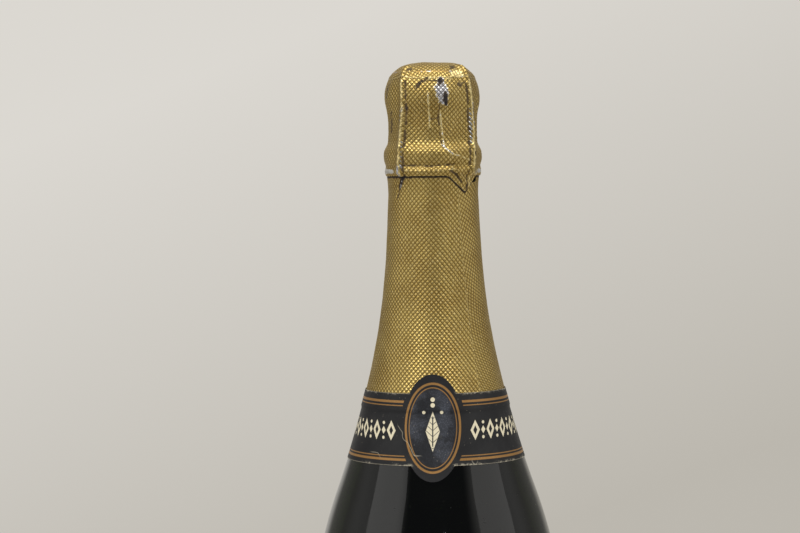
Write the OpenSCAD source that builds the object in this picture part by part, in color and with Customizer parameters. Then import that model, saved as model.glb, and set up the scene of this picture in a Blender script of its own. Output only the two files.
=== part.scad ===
// Sparkling wine bottle with foil, wire cage and cork, in millimetres.
// The origin is the middle of the base, +Z is up and the front faces -Y.

/* [Glass] */
// Height of the glass, base to lip
glass_h = 300; // [290:1:325]
// Outside diameter of the straight body
body_d = 88.5; // [84:0.5:96]
// Height at which the shoulder leaves the straight body
body_h = 108; // [85:1:120]
// Middle of the shoulder, below the lip
shoulder_drop = 122; // [116:1:130]
// Diameter at the middle of the shoulder
shoulder_d = 66; // [62:0.5:69]
// Throat where shoulder turns to neck, below the lip
throat_drop = 90; // [84:1:96]
// Diameter of the throat
throat_d = 46.5; // [44:0.5:49]
// Middle of the neck, below the lip
neck_drop = 62; // [57:1:67]
// Diameter at the middle of the neck
neck_d = 35.3; // [34:0.1:38]
// Slim part of the neck, below the lip
slim_drop = 38; // [34:1:42]
// Diameter of the slim part of the neck
slim_d = 31; // [30.4:0.1:32]
// Diameter of the neck just under the ring
top_neck_d = 28.9; // [28:0.1:30]
// Outside radius of the heel
heel_r = 8; // [5:0.5:11]
// Thickness of the body wall
wall = 5.4; // [3.6:0.1:6.2]
// Thickness of the glass at the floor's lowest ring
floor_t = 10.5; // [7:0.5:13]
// Width of the flat ring that the bottle stands on
stand_w = 3.75; // [2.5:0.25:6]
// Depth of the hollow under the base
punt_depth = 35; // [20:1:42]
// Thickness of the glass at the top of that hollow
punt_t = 11; // [8:0.5:14]
// Level of the wine below the lip
wine_drop = 97; // [75:1:115]

/* [Finish of the neck] */
// Diameter of the bore that takes the cork
bore_d = 18; // [17:0.1:19]
// Diameter of the lip
lip_d = 28.6; // [27.6:0.1:29.2]
// Height of the lip
lip_h = 5.5; // [4:0.1:7]
// Diameter of the groove under the lip
groove_d = 26.5; // [25:0.1:27.2]
// Height of that groove
groove_h = 3.4; // [2.6:0.1:4.2]
// Diameter of the ring that the cage grips
ring_d = 31.4; // [31:0.1:32.8]
// Height of that ring
ring_h = 6.5; // [5:0.1:8]

/* [Cork] */
// Diameter of the cork's head
head_d = 29.2; // [28.4:0.1:30.2]
// Height of the cork above the lip
head_h = 16.2; // [15:0.1:19]
// Length of cork inside the neck
shank_l = 24; // [20:0.5:28]
// Thickness of each natural cork disc
disc_t = 5.5; // [3:0.5:7]

/* [Cage] */
// Diameter of the plaque on top of the cork
plaque_d = 26.6; // [25.6:0.1:27.6]
// Thickness of the plaque's sheet
plaque_t = 0.4; // [0.3:0.05:0.6]
// Height of the dome in the middle of the plaque
dome_h = 0.8; // [0.4:0.1:1]
// Diameter of the wire circle on top, wire middle
crown_d = 19.6; // [17:0.2:22]
// Diameter of the single wire
wire_d = 0.9; // [0.7:0.05:1]
// Diameter over a twisted pair of wires
pair_d = 1.6; // [1.4:0.1:1.8]
// Diameter of the belt wire under the ring
belt_d = 1.1; // [0.9:0.05:1.3]
// Turn of the whole cage round the neck, degrees
cage_turn = 5.2; // [0:0.2:20]
// Length of the twisted stem of the wire loop
stem_l = 4.4; // [3.5:0.1:6]
// Length of the open wire loop
loop_l = 11.6; // [9:0.2:13]
// Width of the open wire loop
loop_w = 6.4; // [5:0.2:7.5]

/* [Foil] */
// Thickness of the foil with its folds
foil_t = 0.25; // [0.15:0.05:0.35]
// Foil's lower edge, under the neck label, below the lip
foil_drop = 94; // [91:1:100]
// Height of the foil's rounded top over the wires
roof_h = 1.3; // [0.6:0.1:2.5]
// How far the foil swells over the cork's head
bulge = 1.1; // [0.8:0.1:1.6]
// Distance from the belt wire down to the tear line
tear_drop = 1; // [0.8:0.1:1.8]
// How far the skirt widens to the tear line
flare_w = 0.7; // [0.3:0.1:1.2]
// Length over which the foil widens to the tear line
flare_l = 4.5; // [3.5:0.25:6]
// Width of the gap at the tear line
tear_gap = 0.2; // [0.1:0.05:0.4]

/* [Labels] */
// Thickness of the label paper
paper_t = 0.15; // [0.1:0.01:0.2]
// Neck label's lower edge, below the lip
band_drop = 112; // [108:1:116]
// Width of the band that goes round the neck
band_w = 23; // [18:1:28]
// Width of the oval at the front of the neck
oval_w = 20.2; // [16:0.2:26]
// Height of the oval at the front of the neck
oval_h = 34.2; // [30:0.2:38]
// Gap between the band's ends at the back
seam_w = 1.2; // [0.6:0.1:3]
// Height of the front label's lower edge
front_low = 24; // [20:1:36]
// Height of the front label
front_h = 74; // [50:1:76]
// Width of the front label round the glass
front_w = 100; // [60:1:120]
// Height of the back label
back_h = 52; // [30:1:60]
// Width of the back label round the glass
back_w = 66; // [40:1:90]

/* [Clearances] */
// Cork to bore, on the radius
cork_gap = 0.05; // [0.03:0.01:0.12]
// Skin to what it lies on
skin_gap = 0.05; // [0.04:0.01:0.1]
// Hood to what it slides over, on the radius
hood_gap = 0.12; // [0.1:0.01:0.2]
// Wire to what it lies on
wire_gap = 0.05; // [0.04:0.01:0.1]

/* [Hidden] */
$fn = 96;
// heights of the neck's finish and of what the neck carries
foil_low = glass_h - foil_drop;
band_low = glass_h - band_drop;
wine_h = glass_h - wine_drop;
lip_z = glass_h - lip_h;
ring_z1 = lip_z - groove_h;
ring_z0 = ring_z1 - ring_h;
// outline stations: height, radius and slope
stations = [
    [body_h, body_d / 2, 0],
    [glass_h - shoulder_drop, shoulder_d / 2, -0.36],
    [glass_h - throat_drop, throat_d / 2, -0.262],
    [glass_h - neck_drop, neck_d / 2, -0.135],
    [glass_h - slim_drop, slim_d / 2, -0.052],
    [ring_z0, top_neck_d / 2, -0.05]
];
function herm(a, b, z) =
    let (h = b[0] - a[0], t = (z - a[0]) / h, t2 = t * t, t3 = t2 * t)
    (2 * t3 - 3 * t2 + 1) * a[1] + (t3 - 2 * t2 + t) * h * a[2]
    + (3 * t2 - 2 * t3) * b[1] + (t3 - t2) * h * b[2];
function leg_of(z, i = 0) =
    i >= len(stations) - 2 || z <= stations[i + 1][0] ? i : leg_of(z, i + 1);
// radius of the glass at a height
function glass_r(z) =
    z <= body_h ? body_d / 2
    : z >= ring_z0 ? top_neck_d / 2
    : let (i = leg_of(z)) herm(stations[i], stations[i + 1], z);
// radius of the hollow inside at a height
bore_z0 = glass_h - shank_l - 4;
function smooth(t) = let (u = min(1, max(0, t))) u * u * (3 - 2 * u);
slope_z = glass_h - shoulder_drop;
function inner_r(z) =
    let (a = body_d / 2 - wall, k = smooth((z - slope_z) / (bore_z0 - slope_z)))
    z <= slope_z ? glass_r(z) - wall
    : glass_r(z) - wall + k * (bore_d / 2 - glass_r(bore_z0) + wall);
function steps(a, b, n) = [for (i = [0 : n]) a + (b - a) * i / n];

// inside of the base: a dome, then an oval heel
in_r = body_d / 2 - wall;
punt_r = body_d / 2 - heel_r - stand_w;
valley_r = punt_r - 3.5;
heel_b = 16;
peak_z = punt_depth + punt_t;
function dome_in(r) = floor_t + (peak_z - floor_t) * (1 + cos(180 * r / valley_r)) / 2;
function dome_out(r) = punt_depth * (1 + cos(180 * r / punt_r)) / 2;
function hollow(gap, top) = concat(
    [for (r = steps(0, valley_r, 20)) [r, dome_in(r) + gap]],
    [for (a = steps(9, 90, 9)) [valley_r + (in_r - valley_r) * sin(a) - gap,
        floor_t + heel_b * (1 - cos(a)) + gap]],
    [[in_r - gap, body_h]],
    [for (z = steps(body_h, top, ceil((top - body_h) / 5))) if (z > body_h)
        [inner_r(z) - gap, z]]
);

module bottle_glass() color([0.07, 0.12, 0.06]) rotate_extrude()
    polygon(concat(
        // underside, from the axis out
        [for (r = steps(0, punt_r, 20)) [r, dome_out(r)]],
        // heel
        [for (a = steps(0, 90, 10)) [body_d / 2 - heel_r * (1 - sin(a)),
            heel_r * (1 - cos(a))]],
        // body, shoulder and neck
        [for (z = steps(body_h, ring_z0, 36)) [glass_r(z), z]],
        // ring, groove and lip
        [[ring_d / 2 - 0.6, ring_z0], [ring_d / 2, ring_z0 + 0.7],
         [ring_d / 2, ring_z1 - 0.9], [ring_d / 2 - 0.8, ring_z1],
         [groove_d / 2, ring_z1 + 0.5], [groove_d / 2, lip_z - 0.6],
         [lip_d / 2, lip_z], [lip_d / 2, glass_h - 1.2],
         [lip_d / 2 - 0.4, glass_h - 0.4], [lip_d / 2 - 1.2, glass_h],
         [bore_d / 2 + 0.5, glass_h], [bore_d / 2, glass_h - 0.5]],
        // bore and hollow, from the top down
        [for (i = [0 : 1]) [bore_d / 2, i == 0 ? glass_h - 1 : bore_z0 + 0.5]],
        let (h = hollow(0, bore_z0)) [for (i = [len(h) - 1 : -1 : 0]) h[i]]
    ));

// the wine lies against the glass, a clearance inside it
module wine() color([0.80, 0.72, 0.42]) rotate_extrude()
    polygon(concat(hollow(2 * skin_gap, wine_h), [[0, wine_h]]));

// ---- cork ----
cork_z0 = glass_h - shank_l;
shank_r = bore_d / 2 - cork_gap;
head_z = glass_h + head_h;
module cork_disc_lower() color([0.80, 0.62, 0.42]) translate([0, 0, cork_z0])
    rotate_extrude() polygon([[0, 0], [shank_r - 0.7, 0], [shank_r, 0.7],
        [shank_r, disc_t], [0, disc_t]]);
module cork_disc_upper() color([0.76, 0.57, 0.38])
    translate([0, 0, cork_z0 + disc_t]) cylinder(h = disc_t, r = shank_r);
module cork_body() color([0.70, 0.52, 0.34]) rotate_extrude()
    polygon([[0, cork_z0 + 2 * disc_t], [shank_r, cork_z0 + 2 * disc_t],
        [shank_r, glass_h], [lip_d / 2 - 2.6, glass_h + 1],
        [lip_d / 2 - 1, glass_h + 2.2], [head_d / 2 - 0.4, glass_h + 4],
        [head_d / 2, glass_h + 5.6], [head_d / 2, head_z - 3.6],
        [head_d / 2 - 0.3, head_z - 2], [rim_r - plaque_t - 0.3, head_z - 1.2],
        [rim_r - plaque_t - 1, head_z], [0, head_z]]);

// ---- cage ----
rim_r = min(plaque_d, head_d) / 2;
seat_z = head_z + wire_gap;
deck_z = seat_z + plaque_t;
crown_r = crown_d / 2;
dome_r = crown_r - wire_d / 2 - 0.6;
module cage_cap() color([0.72, 0.60, 0.34]) rotate_extrude()
    polygon([[0, seat_z + dome_h], [dome_r - 1.2, seat_z + dome_h],
        [dome_r - 0.2, seat_z], [rim_r - plaque_t, seat_z],
        [rim_r - plaque_t, head_z - 1], [rim_r, head_z - 1],
        [rim_r, deck_z - 0.2], [rim_r - 0.2, deck_z], [dome_r, deck_z],
        [dome_r - 0.9, deck_z + dome_h], [0, deck_z + dome_h]]);

crown_z = deck_z + wire_gap + wire_d / 2;
module hoop(r, z, d) translate([0, 0, z]) rotate_extrude()
    translate([r, 0]) circle(d = d, $fn = 32);
module cage_ring() color([0.62, 0.62, 0.60]) hoop(crown_r, crown_z, wire_d);

// a leg lies over the plaque, down the cork and the ring, and in to the belt
pair_r = pair_d / 2;
belt_z = ring_z0 - 0.2 - belt_d / 2;
belt_r = glass_r(belt_z) + skin_gap + wire_gap + belt_d / 2;
leg_top = deck_z + wire_gap + pair_r;
leg_wide = ring_d / 2 + wire_gap + pair_r;
bend_r = pair_r + wire_gap + 0.1;
grip_z = ring_z1 - 0.9;
// the leg's straight run clears the cork's head and touches the ring's upper edge
brow_z = head_z - 3.6;
brow_r = head_d / 2 + wire_gap + pair_r;
brow_u = (leg_top - brow_z) / (leg_top - grip_z);
bend_at = [max(rim_r + bend_r, (brow_r - brow_u * leg_wide) / (1 - brow_u)), leg_top];
foot_z = ring_z0 - 0.3;
foot_r = bend_at[0] + (leg_wide - bend_at[0]) * (leg_top - foot_z) / (leg_top - grip_z);
foot_l = belt_d / 2 + pair_r + 0.02;
leg_path = [
    [crown_r + wire_d / 2 + wire_gap, leg_top],
    bend_at,
    [foot_r, foot_z],
    [belt_r + foot_l * cos(20), belt_z - foot_l * sin(20)]
];
leg_out = foot_r + pair_r + 0.03;
leg_at = [for (k = [0 : 3]) 45 + cage_turn + 90 * k];
module rod(a, b, d) {
    // a round rod between two points of the radius and height plane
    l = norm(b - a);
    translate([a[0], 0, a[1]]) rotate([0, atan2(b[0] - a[0], b[1] - a[1]), 0])
        cylinder(h = l, d = d, $fn = 32);
}
function unit(v) = v / norm(v);
function turn_of(a, b, c) = let (u = unit(b - a), v = unit(c - b))
    atan2(u[0] * v[1] - u[1] * v[0], u[0] * v[0] + u[1] * v[1]);
// round bend at b between the runs a-b and b-c
module elbow(a, b, c, r, d) {
    t = turn_of(a, b, c);
    s = sign(t);
    u = unit(b - a);
    mid = b - u * r * tan(abs(t) / 2) + s * r * [-u[1], u[0]];
    from = atan2(-s * u[0], s * u[1]);
    translate([mid[0], 0, mid[1]]) rotate([90, 0, 0])
        rotate([0, 0, s > 0 ? from : from + t])
            rotate_extrude(angle = abs(t)) translate([r, 0]) circle(d = d + 0.05, $fn = 32);
}
module leg() {
    p = leg_path;
    // each rod runs a little into the next bend, which is a little thicker
    k1 = bend_r * tan(abs(turn_of(p[0], p[1], p[2])) / 2) - 0.06;
    k2 = bend_r * tan(abs(turn_of(p[1], p[2], p[3])) / 2) - 0.06;
    rod(p[0], p[1] - k1 * unit(p[1] - p[0]), pair_d);
    elbow(p[0], p[1], p[2], bend_r, pair_d);
    rod(p[1] + k1 * unit(p[2] - p[1]), p[2] - k2 * unit(p[2] - p[1]), pair_d);
    elbow(p[1], p[2], p[3], bend_r, pair_d);
    rod(p[2] + k2 * unit(p[3] - p[2]), p[3], pair_d);
}
// one of the four arcs of the belt wire, on its leg
loop_way = 45 + cage_turn + 45;
arc_end = 44;
loop_end = 40;
module belt_arc(lo, hi) rotate([0, 0, lo]) translate([0, 0, belt_z])
    rotate_extrude(angle = hi - lo) translate([belt_r, 0])
        circle(d = belt_d, $fn = 32);
module cage_leg_1() color([0.60, 0.60, 0.58]) rotate([0, 0, leg_at[0]]) leg();
module cage_leg_2() color([0.60, 0.60, 0.58]) rotate([0, 0, leg_at[1]]) leg();
module cage_leg_3() color([0.60, 0.60, 0.58]) rotate([0, 0, leg_at[2]]) leg();
module cage_leg_4() color([0.60, 0.60, 0.58]) rotate([0, 0, leg_at[3]]) leg();
module belt_arc_1() color([0.55, 0.55, 0.54])
    belt_arc(leg_at[0] - arc_end, leg_at[0] + loop_end);
module belt_arc_2() color([0.55, 0.55, 0.54])
    belt_arc(leg_at[1] - loop_end, leg_at[1] + arc_end);
module belt_arc_3() color([0.55, 0.55, 0.54])
    belt_arc(leg_at[2] - arc_end, leg_at[2] + arc_end);
module belt_arc_4() color([0.55, 0.55, 0.54])
    belt_arc(leg_at[3] - arc_end, leg_at[3] + arc_end);

// the wire loop stands folded up against the ring at the back
stem_z = belt_z + stem_l;
module loop_root() color([0.58, 0.58, 0.57]) rotate([0, 0, loop_way]) {
    rod([belt_r + 0.25, belt_z], [leg_wide, belt_z], pair_d);
    translate([leg_wide, 0, belt_z]) sphere(d = pair_d, $fn = 32);
    rod([leg_wide, belt_z], [leg_wide, stem_z], pair_d);
}
loop_z0 = stem_z + wire_gap + wire_d / 2;
bow_r = (loop_w - wire_d) / 2;
loop_straight = loop_l - wire_d - 2 * bow_r;
module bow(up) translate([leg_wide, 0, up ? loop_z0 + bow_r + loop_straight
    : loop_z0 + bow_r]) rotate([up ? 90 : -90, 0, 90])
        rotate_extrude(angle = 180) translate([bow_r, 0])
            circle(d = wire_d, $fn = 32);
module twist_loop() color([0.66, 0.66, 0.64]) rotate([0, 0, loop_way]) {
    bow(true);
    bow(false);
    for (s = [-1, 1]) translate([leg_wide, s * bow_r, loop_z0 + bow_r])
        cylinder(h = loop_straight, d = wire_d, $fn = 32);
}

// ---- foil ----
tear_z = belt_z - belt_d / 2 - tear_drop;
flare_z = tear_z - flare_l;
flare_r = glass_r(tear_z) + skin_gap + flare_w;
function skirt_r(z) = max(glass_r(z) + skin_gap,
    glass_r(flare_z) + (flare_r - glass_r(flare_z)) * pow(max(0, (z - flare_z) / flare_l), 1.6));
skirt_zs = concat(steps(foil_low, flare_z, 16), steps(flare_z + 0.75, tear_z - tear_gap, 5));
module foil_skirt() color([0.70, 0.58, 0.28]) rotate_extrude()
    polygon(concat(
        [for (z = skirt_zs) [skirt_r(z), z]],
        [for (i = [len(skirt_zs) - 1 : -1 : 0]) [skirt_r(skirt_zs[i]) + foil_t, skirt_zs[i]]]
    ));

// the hood lifts clear: nothing above a height is wider than its inside there
waist_r = max(head_d, plaque_d) / 2 + hood_gap;
cover_r = max(ring_d / 2, belt_r + belt_d / 2) + hood_gap;
bulge_r = waist_r + bulge;
roof_z = leg_top + pair_r + hood_gap + roof_h;
// inside (k = 0) or outside (k = 1) of the hood
function hood_line(k) = let (t = k * foil_t) [
    [0, roof_z + t], [bulge_r - 8.6, roof_z - 0.1 + t],
    [bulge_r - 5.8 + t * 0.3, roof_z - 0.6 + t * 0.95],
    [bulge_r - 3.6 + t * 0.5, roof_z - 1.75 + t * 0.85],
    [bulge_r - 2.2 + t * 0.7, roof_z - 3.3 + t * 0.6],
    [bulge_r - 0.95 + t * 0.85, roof_z - 5.3 + t * 0.4],
    [bulge_r - 0.15 + t, roof_z - 7.7 + t * 0.2],
    [bulge_r + t, roof_z - 10.4], [bulge_r - 0.1 + t, glass_h + 7],
    [waist_r + 0.35 + t, glass_h + 4.8], [waist_r + t, glass_h + 2.5],
    [waist_r + t, lip_z + 0.1], [waist_r + 0.35 + t, ring_z1 + 1.9],
    [cover_r + 0.05 + t, ring_z1 + 0.2], [cover_r + 0.3 + t, ring_z1 - 1.3],
    [cover_r + 0.3 + t, ring_z0 + 1.6], [cover_r + t, ring_z0 - 0.5],
    [cover_r + t, tear_z - (1 - k)], [0, tear_z - (1 - k)]
];
// ridge over a leg: its side view, inside or outside
function ridge_line(k) = let (t = k * foil_t, r = leg_out + hood_gap + t,
    top = leg_top + pair_r + hood_gap + 0.05 + t) [
    [6, top], [bend_at[0] - 0.1 + t / 2, top],
    [bend_at[0] + pair_r + hood_gap + 0.05 + t, leg_top - 0.35 + t / 2], [r, foot_z],
    [r, tear_z - (1 - k)], [6, tear_z - (1 - k)]
];
// swelling over the wire loop at the back
loop_out = leg_wide + pair_r + hood_gap;
function swell_line(k) = let (t = k * foil_t) [
    [6, loop_z0 + loop_l + 3.4 + t], [waist_r, loop_z0 + loop_l + 3.4 + t],
    [loop_out + t, loop_z0 + loop_l + 0.4 + t], [loop_out + t, tear_z - (1 - k)],
    [6, tear_z - (1 - k)]
];
module plate(w, line) rotate([90, 0, 0])
    linear_extrude(height = w, center = true) polygon(line);
module hood_solid(k) {
    t = k * foil_t;
    rotate_extrude() polygon(hood_line(k));
    for (a = leg_at) rotate([0, 0, a]) {
        plate(pair_d + 0.3 + 2 * t, ridge_line(k));
    }
    rotate([0, 0, loop_way]) plate(loop_w + 0.4 + 2 * t, swell_line(k));
}
module foil_hood() color([0.78, 0.66, 0.34]) difference() {
    hood_solid(1);
    hood_solid(0);
}

// ---- labels ----
band_top = band_low + band_w;
oval_z = band_low + band_w / 2 + 0.6;
lap = foil_t + skin_gap;
function paper_r(z) = glass_r(z) + skin_gap
    + lap * smooth((z - foil_low + 1.4) / 1);
paper_zs = steps(oval_z - oval_h / 2 - 1, oval_z + oval_h / 2 + 1, 30);
module neck_label() color([0.10, 0.10, 0.11]) intersection() {
    rotate_extrude() polygon(concat(
        [for (z = paper_zs) [paper_r(z), z]],
        [for (i = [len(paper_zs) - 1 : -1 : 0]) [paper_r(paper_zs[i]) + paper_t, paper_zs[i]]]
    ));
    union() {
        difference() {
            translate([0, 0, band_low]) cylinder(h = band_w, r = body_d / 2);
            translate([-seam_w / 2, 0, band_low - 1]) cube([seam_w, body_d, band_w + 2]);
        }
        translate([0, 0, oval_z]) rotate([90, 0, 0]) linear_extrude(height = body_d / 2)
            polygon([for (a = steps(0, 360 - 7.5, 47)) [oval_w / 2 * cos(a), oval_h / 2 * sin(a)]]);
    }
}
label_r = body_d / 2 + skin_gap;
module body_label(way, w, low, h) {
    turn = w / label_r * 180 / PI;
    rotate([0, 0, way - turn / 2]) translate([0, 0, low]) rotate_extrude(angle = turn)
        translate([label_r, 0]) square([paper_t, h]);
}
module front_label() color([0.11, 0.11, 0.12]) body_label(-90, front_w, front_low, front_h);
module back_label() color([0.13, 0.13, 0.14])
    body_label(90, back_w, front_low + (front_h - back_h) / 2, back_h);

bottle_glass();
wine();
foil_skirt();
neck_label();
front_label();
back_label();
cork_body();
cork_disc_upper();
cork_disc_lower();
cage_cap();
cage_ring();
cage_leg_1();
cage_leg_2();
cage_leg_3();
cage_leg_4();
belt_arc_1();
belt_arc_2();
belt_arc_3();
belt_arc_4();
loop_root();
twist_loop();
foil_hood();
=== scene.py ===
import math
from bisect import bisect_right

import bmesh
import bpy
from mathutils import Matrix, Vector, noise


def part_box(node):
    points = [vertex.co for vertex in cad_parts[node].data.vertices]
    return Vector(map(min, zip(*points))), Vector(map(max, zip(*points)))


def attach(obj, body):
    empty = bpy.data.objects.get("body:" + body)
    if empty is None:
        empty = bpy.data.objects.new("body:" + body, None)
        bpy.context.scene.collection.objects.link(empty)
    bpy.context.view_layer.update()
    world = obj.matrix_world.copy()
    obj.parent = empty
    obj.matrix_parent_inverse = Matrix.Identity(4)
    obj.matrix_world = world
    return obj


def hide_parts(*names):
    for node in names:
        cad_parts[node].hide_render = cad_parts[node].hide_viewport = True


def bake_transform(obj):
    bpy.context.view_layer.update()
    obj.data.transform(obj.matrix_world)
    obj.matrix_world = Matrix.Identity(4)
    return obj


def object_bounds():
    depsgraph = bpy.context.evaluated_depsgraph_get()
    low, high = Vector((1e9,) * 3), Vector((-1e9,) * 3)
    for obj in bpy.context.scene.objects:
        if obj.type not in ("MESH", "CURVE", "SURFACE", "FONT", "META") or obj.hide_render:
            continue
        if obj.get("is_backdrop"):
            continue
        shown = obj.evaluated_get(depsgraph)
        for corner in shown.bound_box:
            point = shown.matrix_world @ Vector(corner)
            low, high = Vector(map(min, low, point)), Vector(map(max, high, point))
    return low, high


bl_info = {
    "name": "Sparkling wine bottle",
    "version": (1, 0, 0),
    "blender": (4, 5, 0),
    "location": "3D View > Sidebar > Bottle",
    "description": "Glass, embossed foil, labels, cork and wire cage on the packed bottle",
    "category": "Object",
}

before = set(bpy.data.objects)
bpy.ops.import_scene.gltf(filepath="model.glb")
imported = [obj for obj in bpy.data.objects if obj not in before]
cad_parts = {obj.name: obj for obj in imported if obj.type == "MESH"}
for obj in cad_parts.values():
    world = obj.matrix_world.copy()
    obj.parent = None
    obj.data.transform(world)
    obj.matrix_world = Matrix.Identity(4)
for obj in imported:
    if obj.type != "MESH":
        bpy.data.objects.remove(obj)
CAD_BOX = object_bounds()

# Lengths in the functions below are millimetres, and angles are degrees.
# A piece is scaled to metres when it is placed.
MM = 0.001
BODY_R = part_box("bottle_glass")[1].x / MM
LIP_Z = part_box("bottle_glass")[1].z / MM
SHOULDER_Z = 108
RING_Z = 284.6
BELT_Z = 283.85
BELT_R = 15.14
CROWN_R = 9.8
CROWN_Z = 317.15
LEG_TOP = 317.5
LEG_R = 16.55
LEGS = {1: 50.2, 2: 140.2, 3: 230.2, 4: 320.2}
LOOP_WAY = 95.2
TEAR_Z = 282.3
FOIL_LOW = 206
# stations of the glass outline: height, radius and slope
STATIONS = (
    (SHOULDER_Z, BODY_R, 0),
    (178, 33, -0.36),
    (210, 23.25, -0.262),
    (238, 17.65, -0.135),
    (262, 15.5, -0.052),
    (RING_Z, 14.45, -0.05),
)


# ---- settings ----


def length(name, about, default):
    return bpy.props.FloatProperty(
        name=name, description=about, default=default * MM, min=0, unit="LENGTH"
    )


def colour(name, about, default):
    return bpy.props.FloatVectorProperty(
        name=name,
        description=about,
        default=(*default, 1),
        size=4,
        min=0,
        max=1,
        subtype="COLOR",
    )


class GlassSettings(bpy.types.PropertyGroup):
    wall: length("Wall", "Thickness of the body wall", 5.4)
    tint: colour("Glass", "Colour of the glass", (0.0045, 0.0085, 0.0028))
    wine: colour("Wine", "Colour of the wine", (0.80, 0.66, 0.30))


class FoilSettings(bpy.types.PropertyGroup):
    diamond_w: length("Diamond width", "Width of one embossed diamond", 1.55)
    diamond_h: length("Diamond height", "Height of one embossed diamond", 1.70)
    depth: length("Emboss depth", "Height of the crests over the grooves", 0.15)
    gold: colour("Gold", "Lacquer on the faces of the diamonds", (0.56, 0.405, 0.125))
    # colour of the painted shade down in the grooves
    groove: colour("Groove", "Lacquer down in the grooves", (0.13, 0.075, 0.018))
    # paler lacquer, also used as painted highlight on crests and bright creases
    crest: colour("Crest", "Lacquer on the crests", (0.90, 0.74, 0.36))
    bare: colour("Bare metal", "Foil where the lacquer has worn off", (0.70, 0.69, 0.70))
    lining: colour("Lining", "Inside of the foil", (0.62, 0.60, 0.55))


class LabelSettings(bpy.types.PropertyGroup):
    paper: length("Paper", "Thickness of the label paper", 0.15)
    ground: colour("Ground", "Printed ground of the labels", (0.009, 0.009, 0.0105))
    gold: colour("Gold print", "Printed lines", (0.36, 0.19, 0.060))
    cream: colour("Cream print", "Printed ornaments", (0.84, 0.76, 0.55))
    fibre: colour("Bare paper", "Paper where the print has rubbed off", (0.52, 0.47, 0.36))


class CorkSettings(bpy.types.PropertyGroup):
    grain: length("Grain", "Size of the pressed grains", 2.2)
    light: colour("Light cork", "Lightest grains", (0.58, 0.36, 0.18))
    dark: colour("Dark cork", "Darkest grains", (0.24, 0.115, 0.05))
    disc: colour("Disc", "Natural cork of the discs", (0.60, 0.38, 0.20))


class CageSettings(bpy.types.PropertyGroup):
    wire: length("Wire", "Diameter of one wire", 0.8)
    pitch: length("Twist", "Length of one full twist", 3.2)
    belt: length("Belt wire", "Diameter of the belt wire", 1.1)
    zinc: colour("Wire finish", "Dull zinc on the wires", (0.46, 0.46, 0.45))
    lacquer: colour("Plaque", "Lacquer on the plaque", (0.55, 0.34, 0.09))


class StageSettings(bpy.types.PropertyGroup):
    backdrop: colour("Backdrop", "Pale wall behind the bottle", (0.71, 0.685, 0.64))
    floor: colour("Floor", "Pale floor", (0.62, 0.60, 0.56))
    lens: bpy.props.FloatProperty(
        name="Lens", description="Focal length of the camera", default=110.2, unit="CAMERA"
    )
    strength: bpy.props.FloatProperty(
        name="Lamps", description="Factor on the power of all lamps", default=1.0, min=0
    )


SETTINGS = {
    "bottle_glass": GlassSettings,
    "bottle_foil": FoilSettings,
    "bottle_labels": LabelSettings,
    "bottle_cork": CorkSettings,
    "bottle_cage": CageSettings,
    "bottle_stage": StageSettings,
}


# ---- shapes ----


def ease(t):
    t = min(1, max(0, t))
    return t * t * (3 - 2 * t)


def arc_gap(a, b):
    """Smallest signed angle from b to a."""
    return (a - b + 180) % 360 - 180


def table_at(table, x):
    """Straight-line value at x in a table of (x, value) rows."""
    i = min(max(bisect_right([row[0] for row in table], x) - 1, 0), len(table) - 2)
    (x0, y0), (x1, y1) = table[i], table[i + 1]
    return y0 + (y1 - y0) * min(1, max(0, (x - x0) / (x1 - x0)))


def on_ring(r, way, z):
    return Vector((r * math.cos(math.radians(way)), r * math.sin(math.radians(way)), z))


def glass_radius(z):
    if z <= SHOULDER_Z:
        return BODY_R
    if z >= RING_Z:
        return STATIONS[-1][1]
    for (z0, r0, k0), (z1, r1, k1) in zip(STATIONS, STATIONS[1:]):
        if z <= z1:
            h, t = z1 - z0, (z - z0) / (z1 - z0)
            return (
                (2 * t**3 - 3 * t**2 + 1) * r0
                + (t**3 - 2 * t**2 + t) * h * k0
                + (3 * t**2 - 2 * t**3) * r1
                + (t**3 - t**2) * h * k1
            )


def rounded_line(points, step=0.3):
    """Points about a step apart on a smooth line through the given ones."""
    points = [Vector(p) for p in points]
    ends = [2 * points[0] - points[1], *points, 2 * points[-1] - points[-2]]
    line = []
    for a, b, c, d in zip(ends, ends[1:], ends[2:], ends[3:]):
        n = max(2, round((c - b).length / step))
        for t in (i / n for i in range(n)):
            line.append(
                0.5
                * (
                    2 * b
                    + (c - a) * t
                    + (2 * a - 5 * b + 4 * c - d) * t**2
                    + (3 * b - a - 3 * c + d) * t**3
                )
            )
    return [*line, points[-1]]


def turned(profile, steps=128, closed=False):
    """A (radius, height) profile turned round the bottle's axis."""
    bm = bmesh.new()
    verts = [bm.verts.new((r, 0, z)) for r, z in profile]
    edges = [bm.edges.new(pair) for pair in zip(verts, verts[1:])]
    if closed:
        edges.append(bm.edges.new((verts[-1], verts[0])))
    bmesh.ops.spin(
        bm,
        geom=verts + edges,
        cent=(0, 0, 0),
        axis=(0, 0, 1),
        angle=2 * math.pi,
        steps=steps,
        use_merge=True,
    )
    bmesh.ops.remove_doubles(bm, verts=bm.verts, dist=1e-4)
    bmesh.ops.recalc_face_normals(bm, faces=bm.faces)
    return bm


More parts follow.
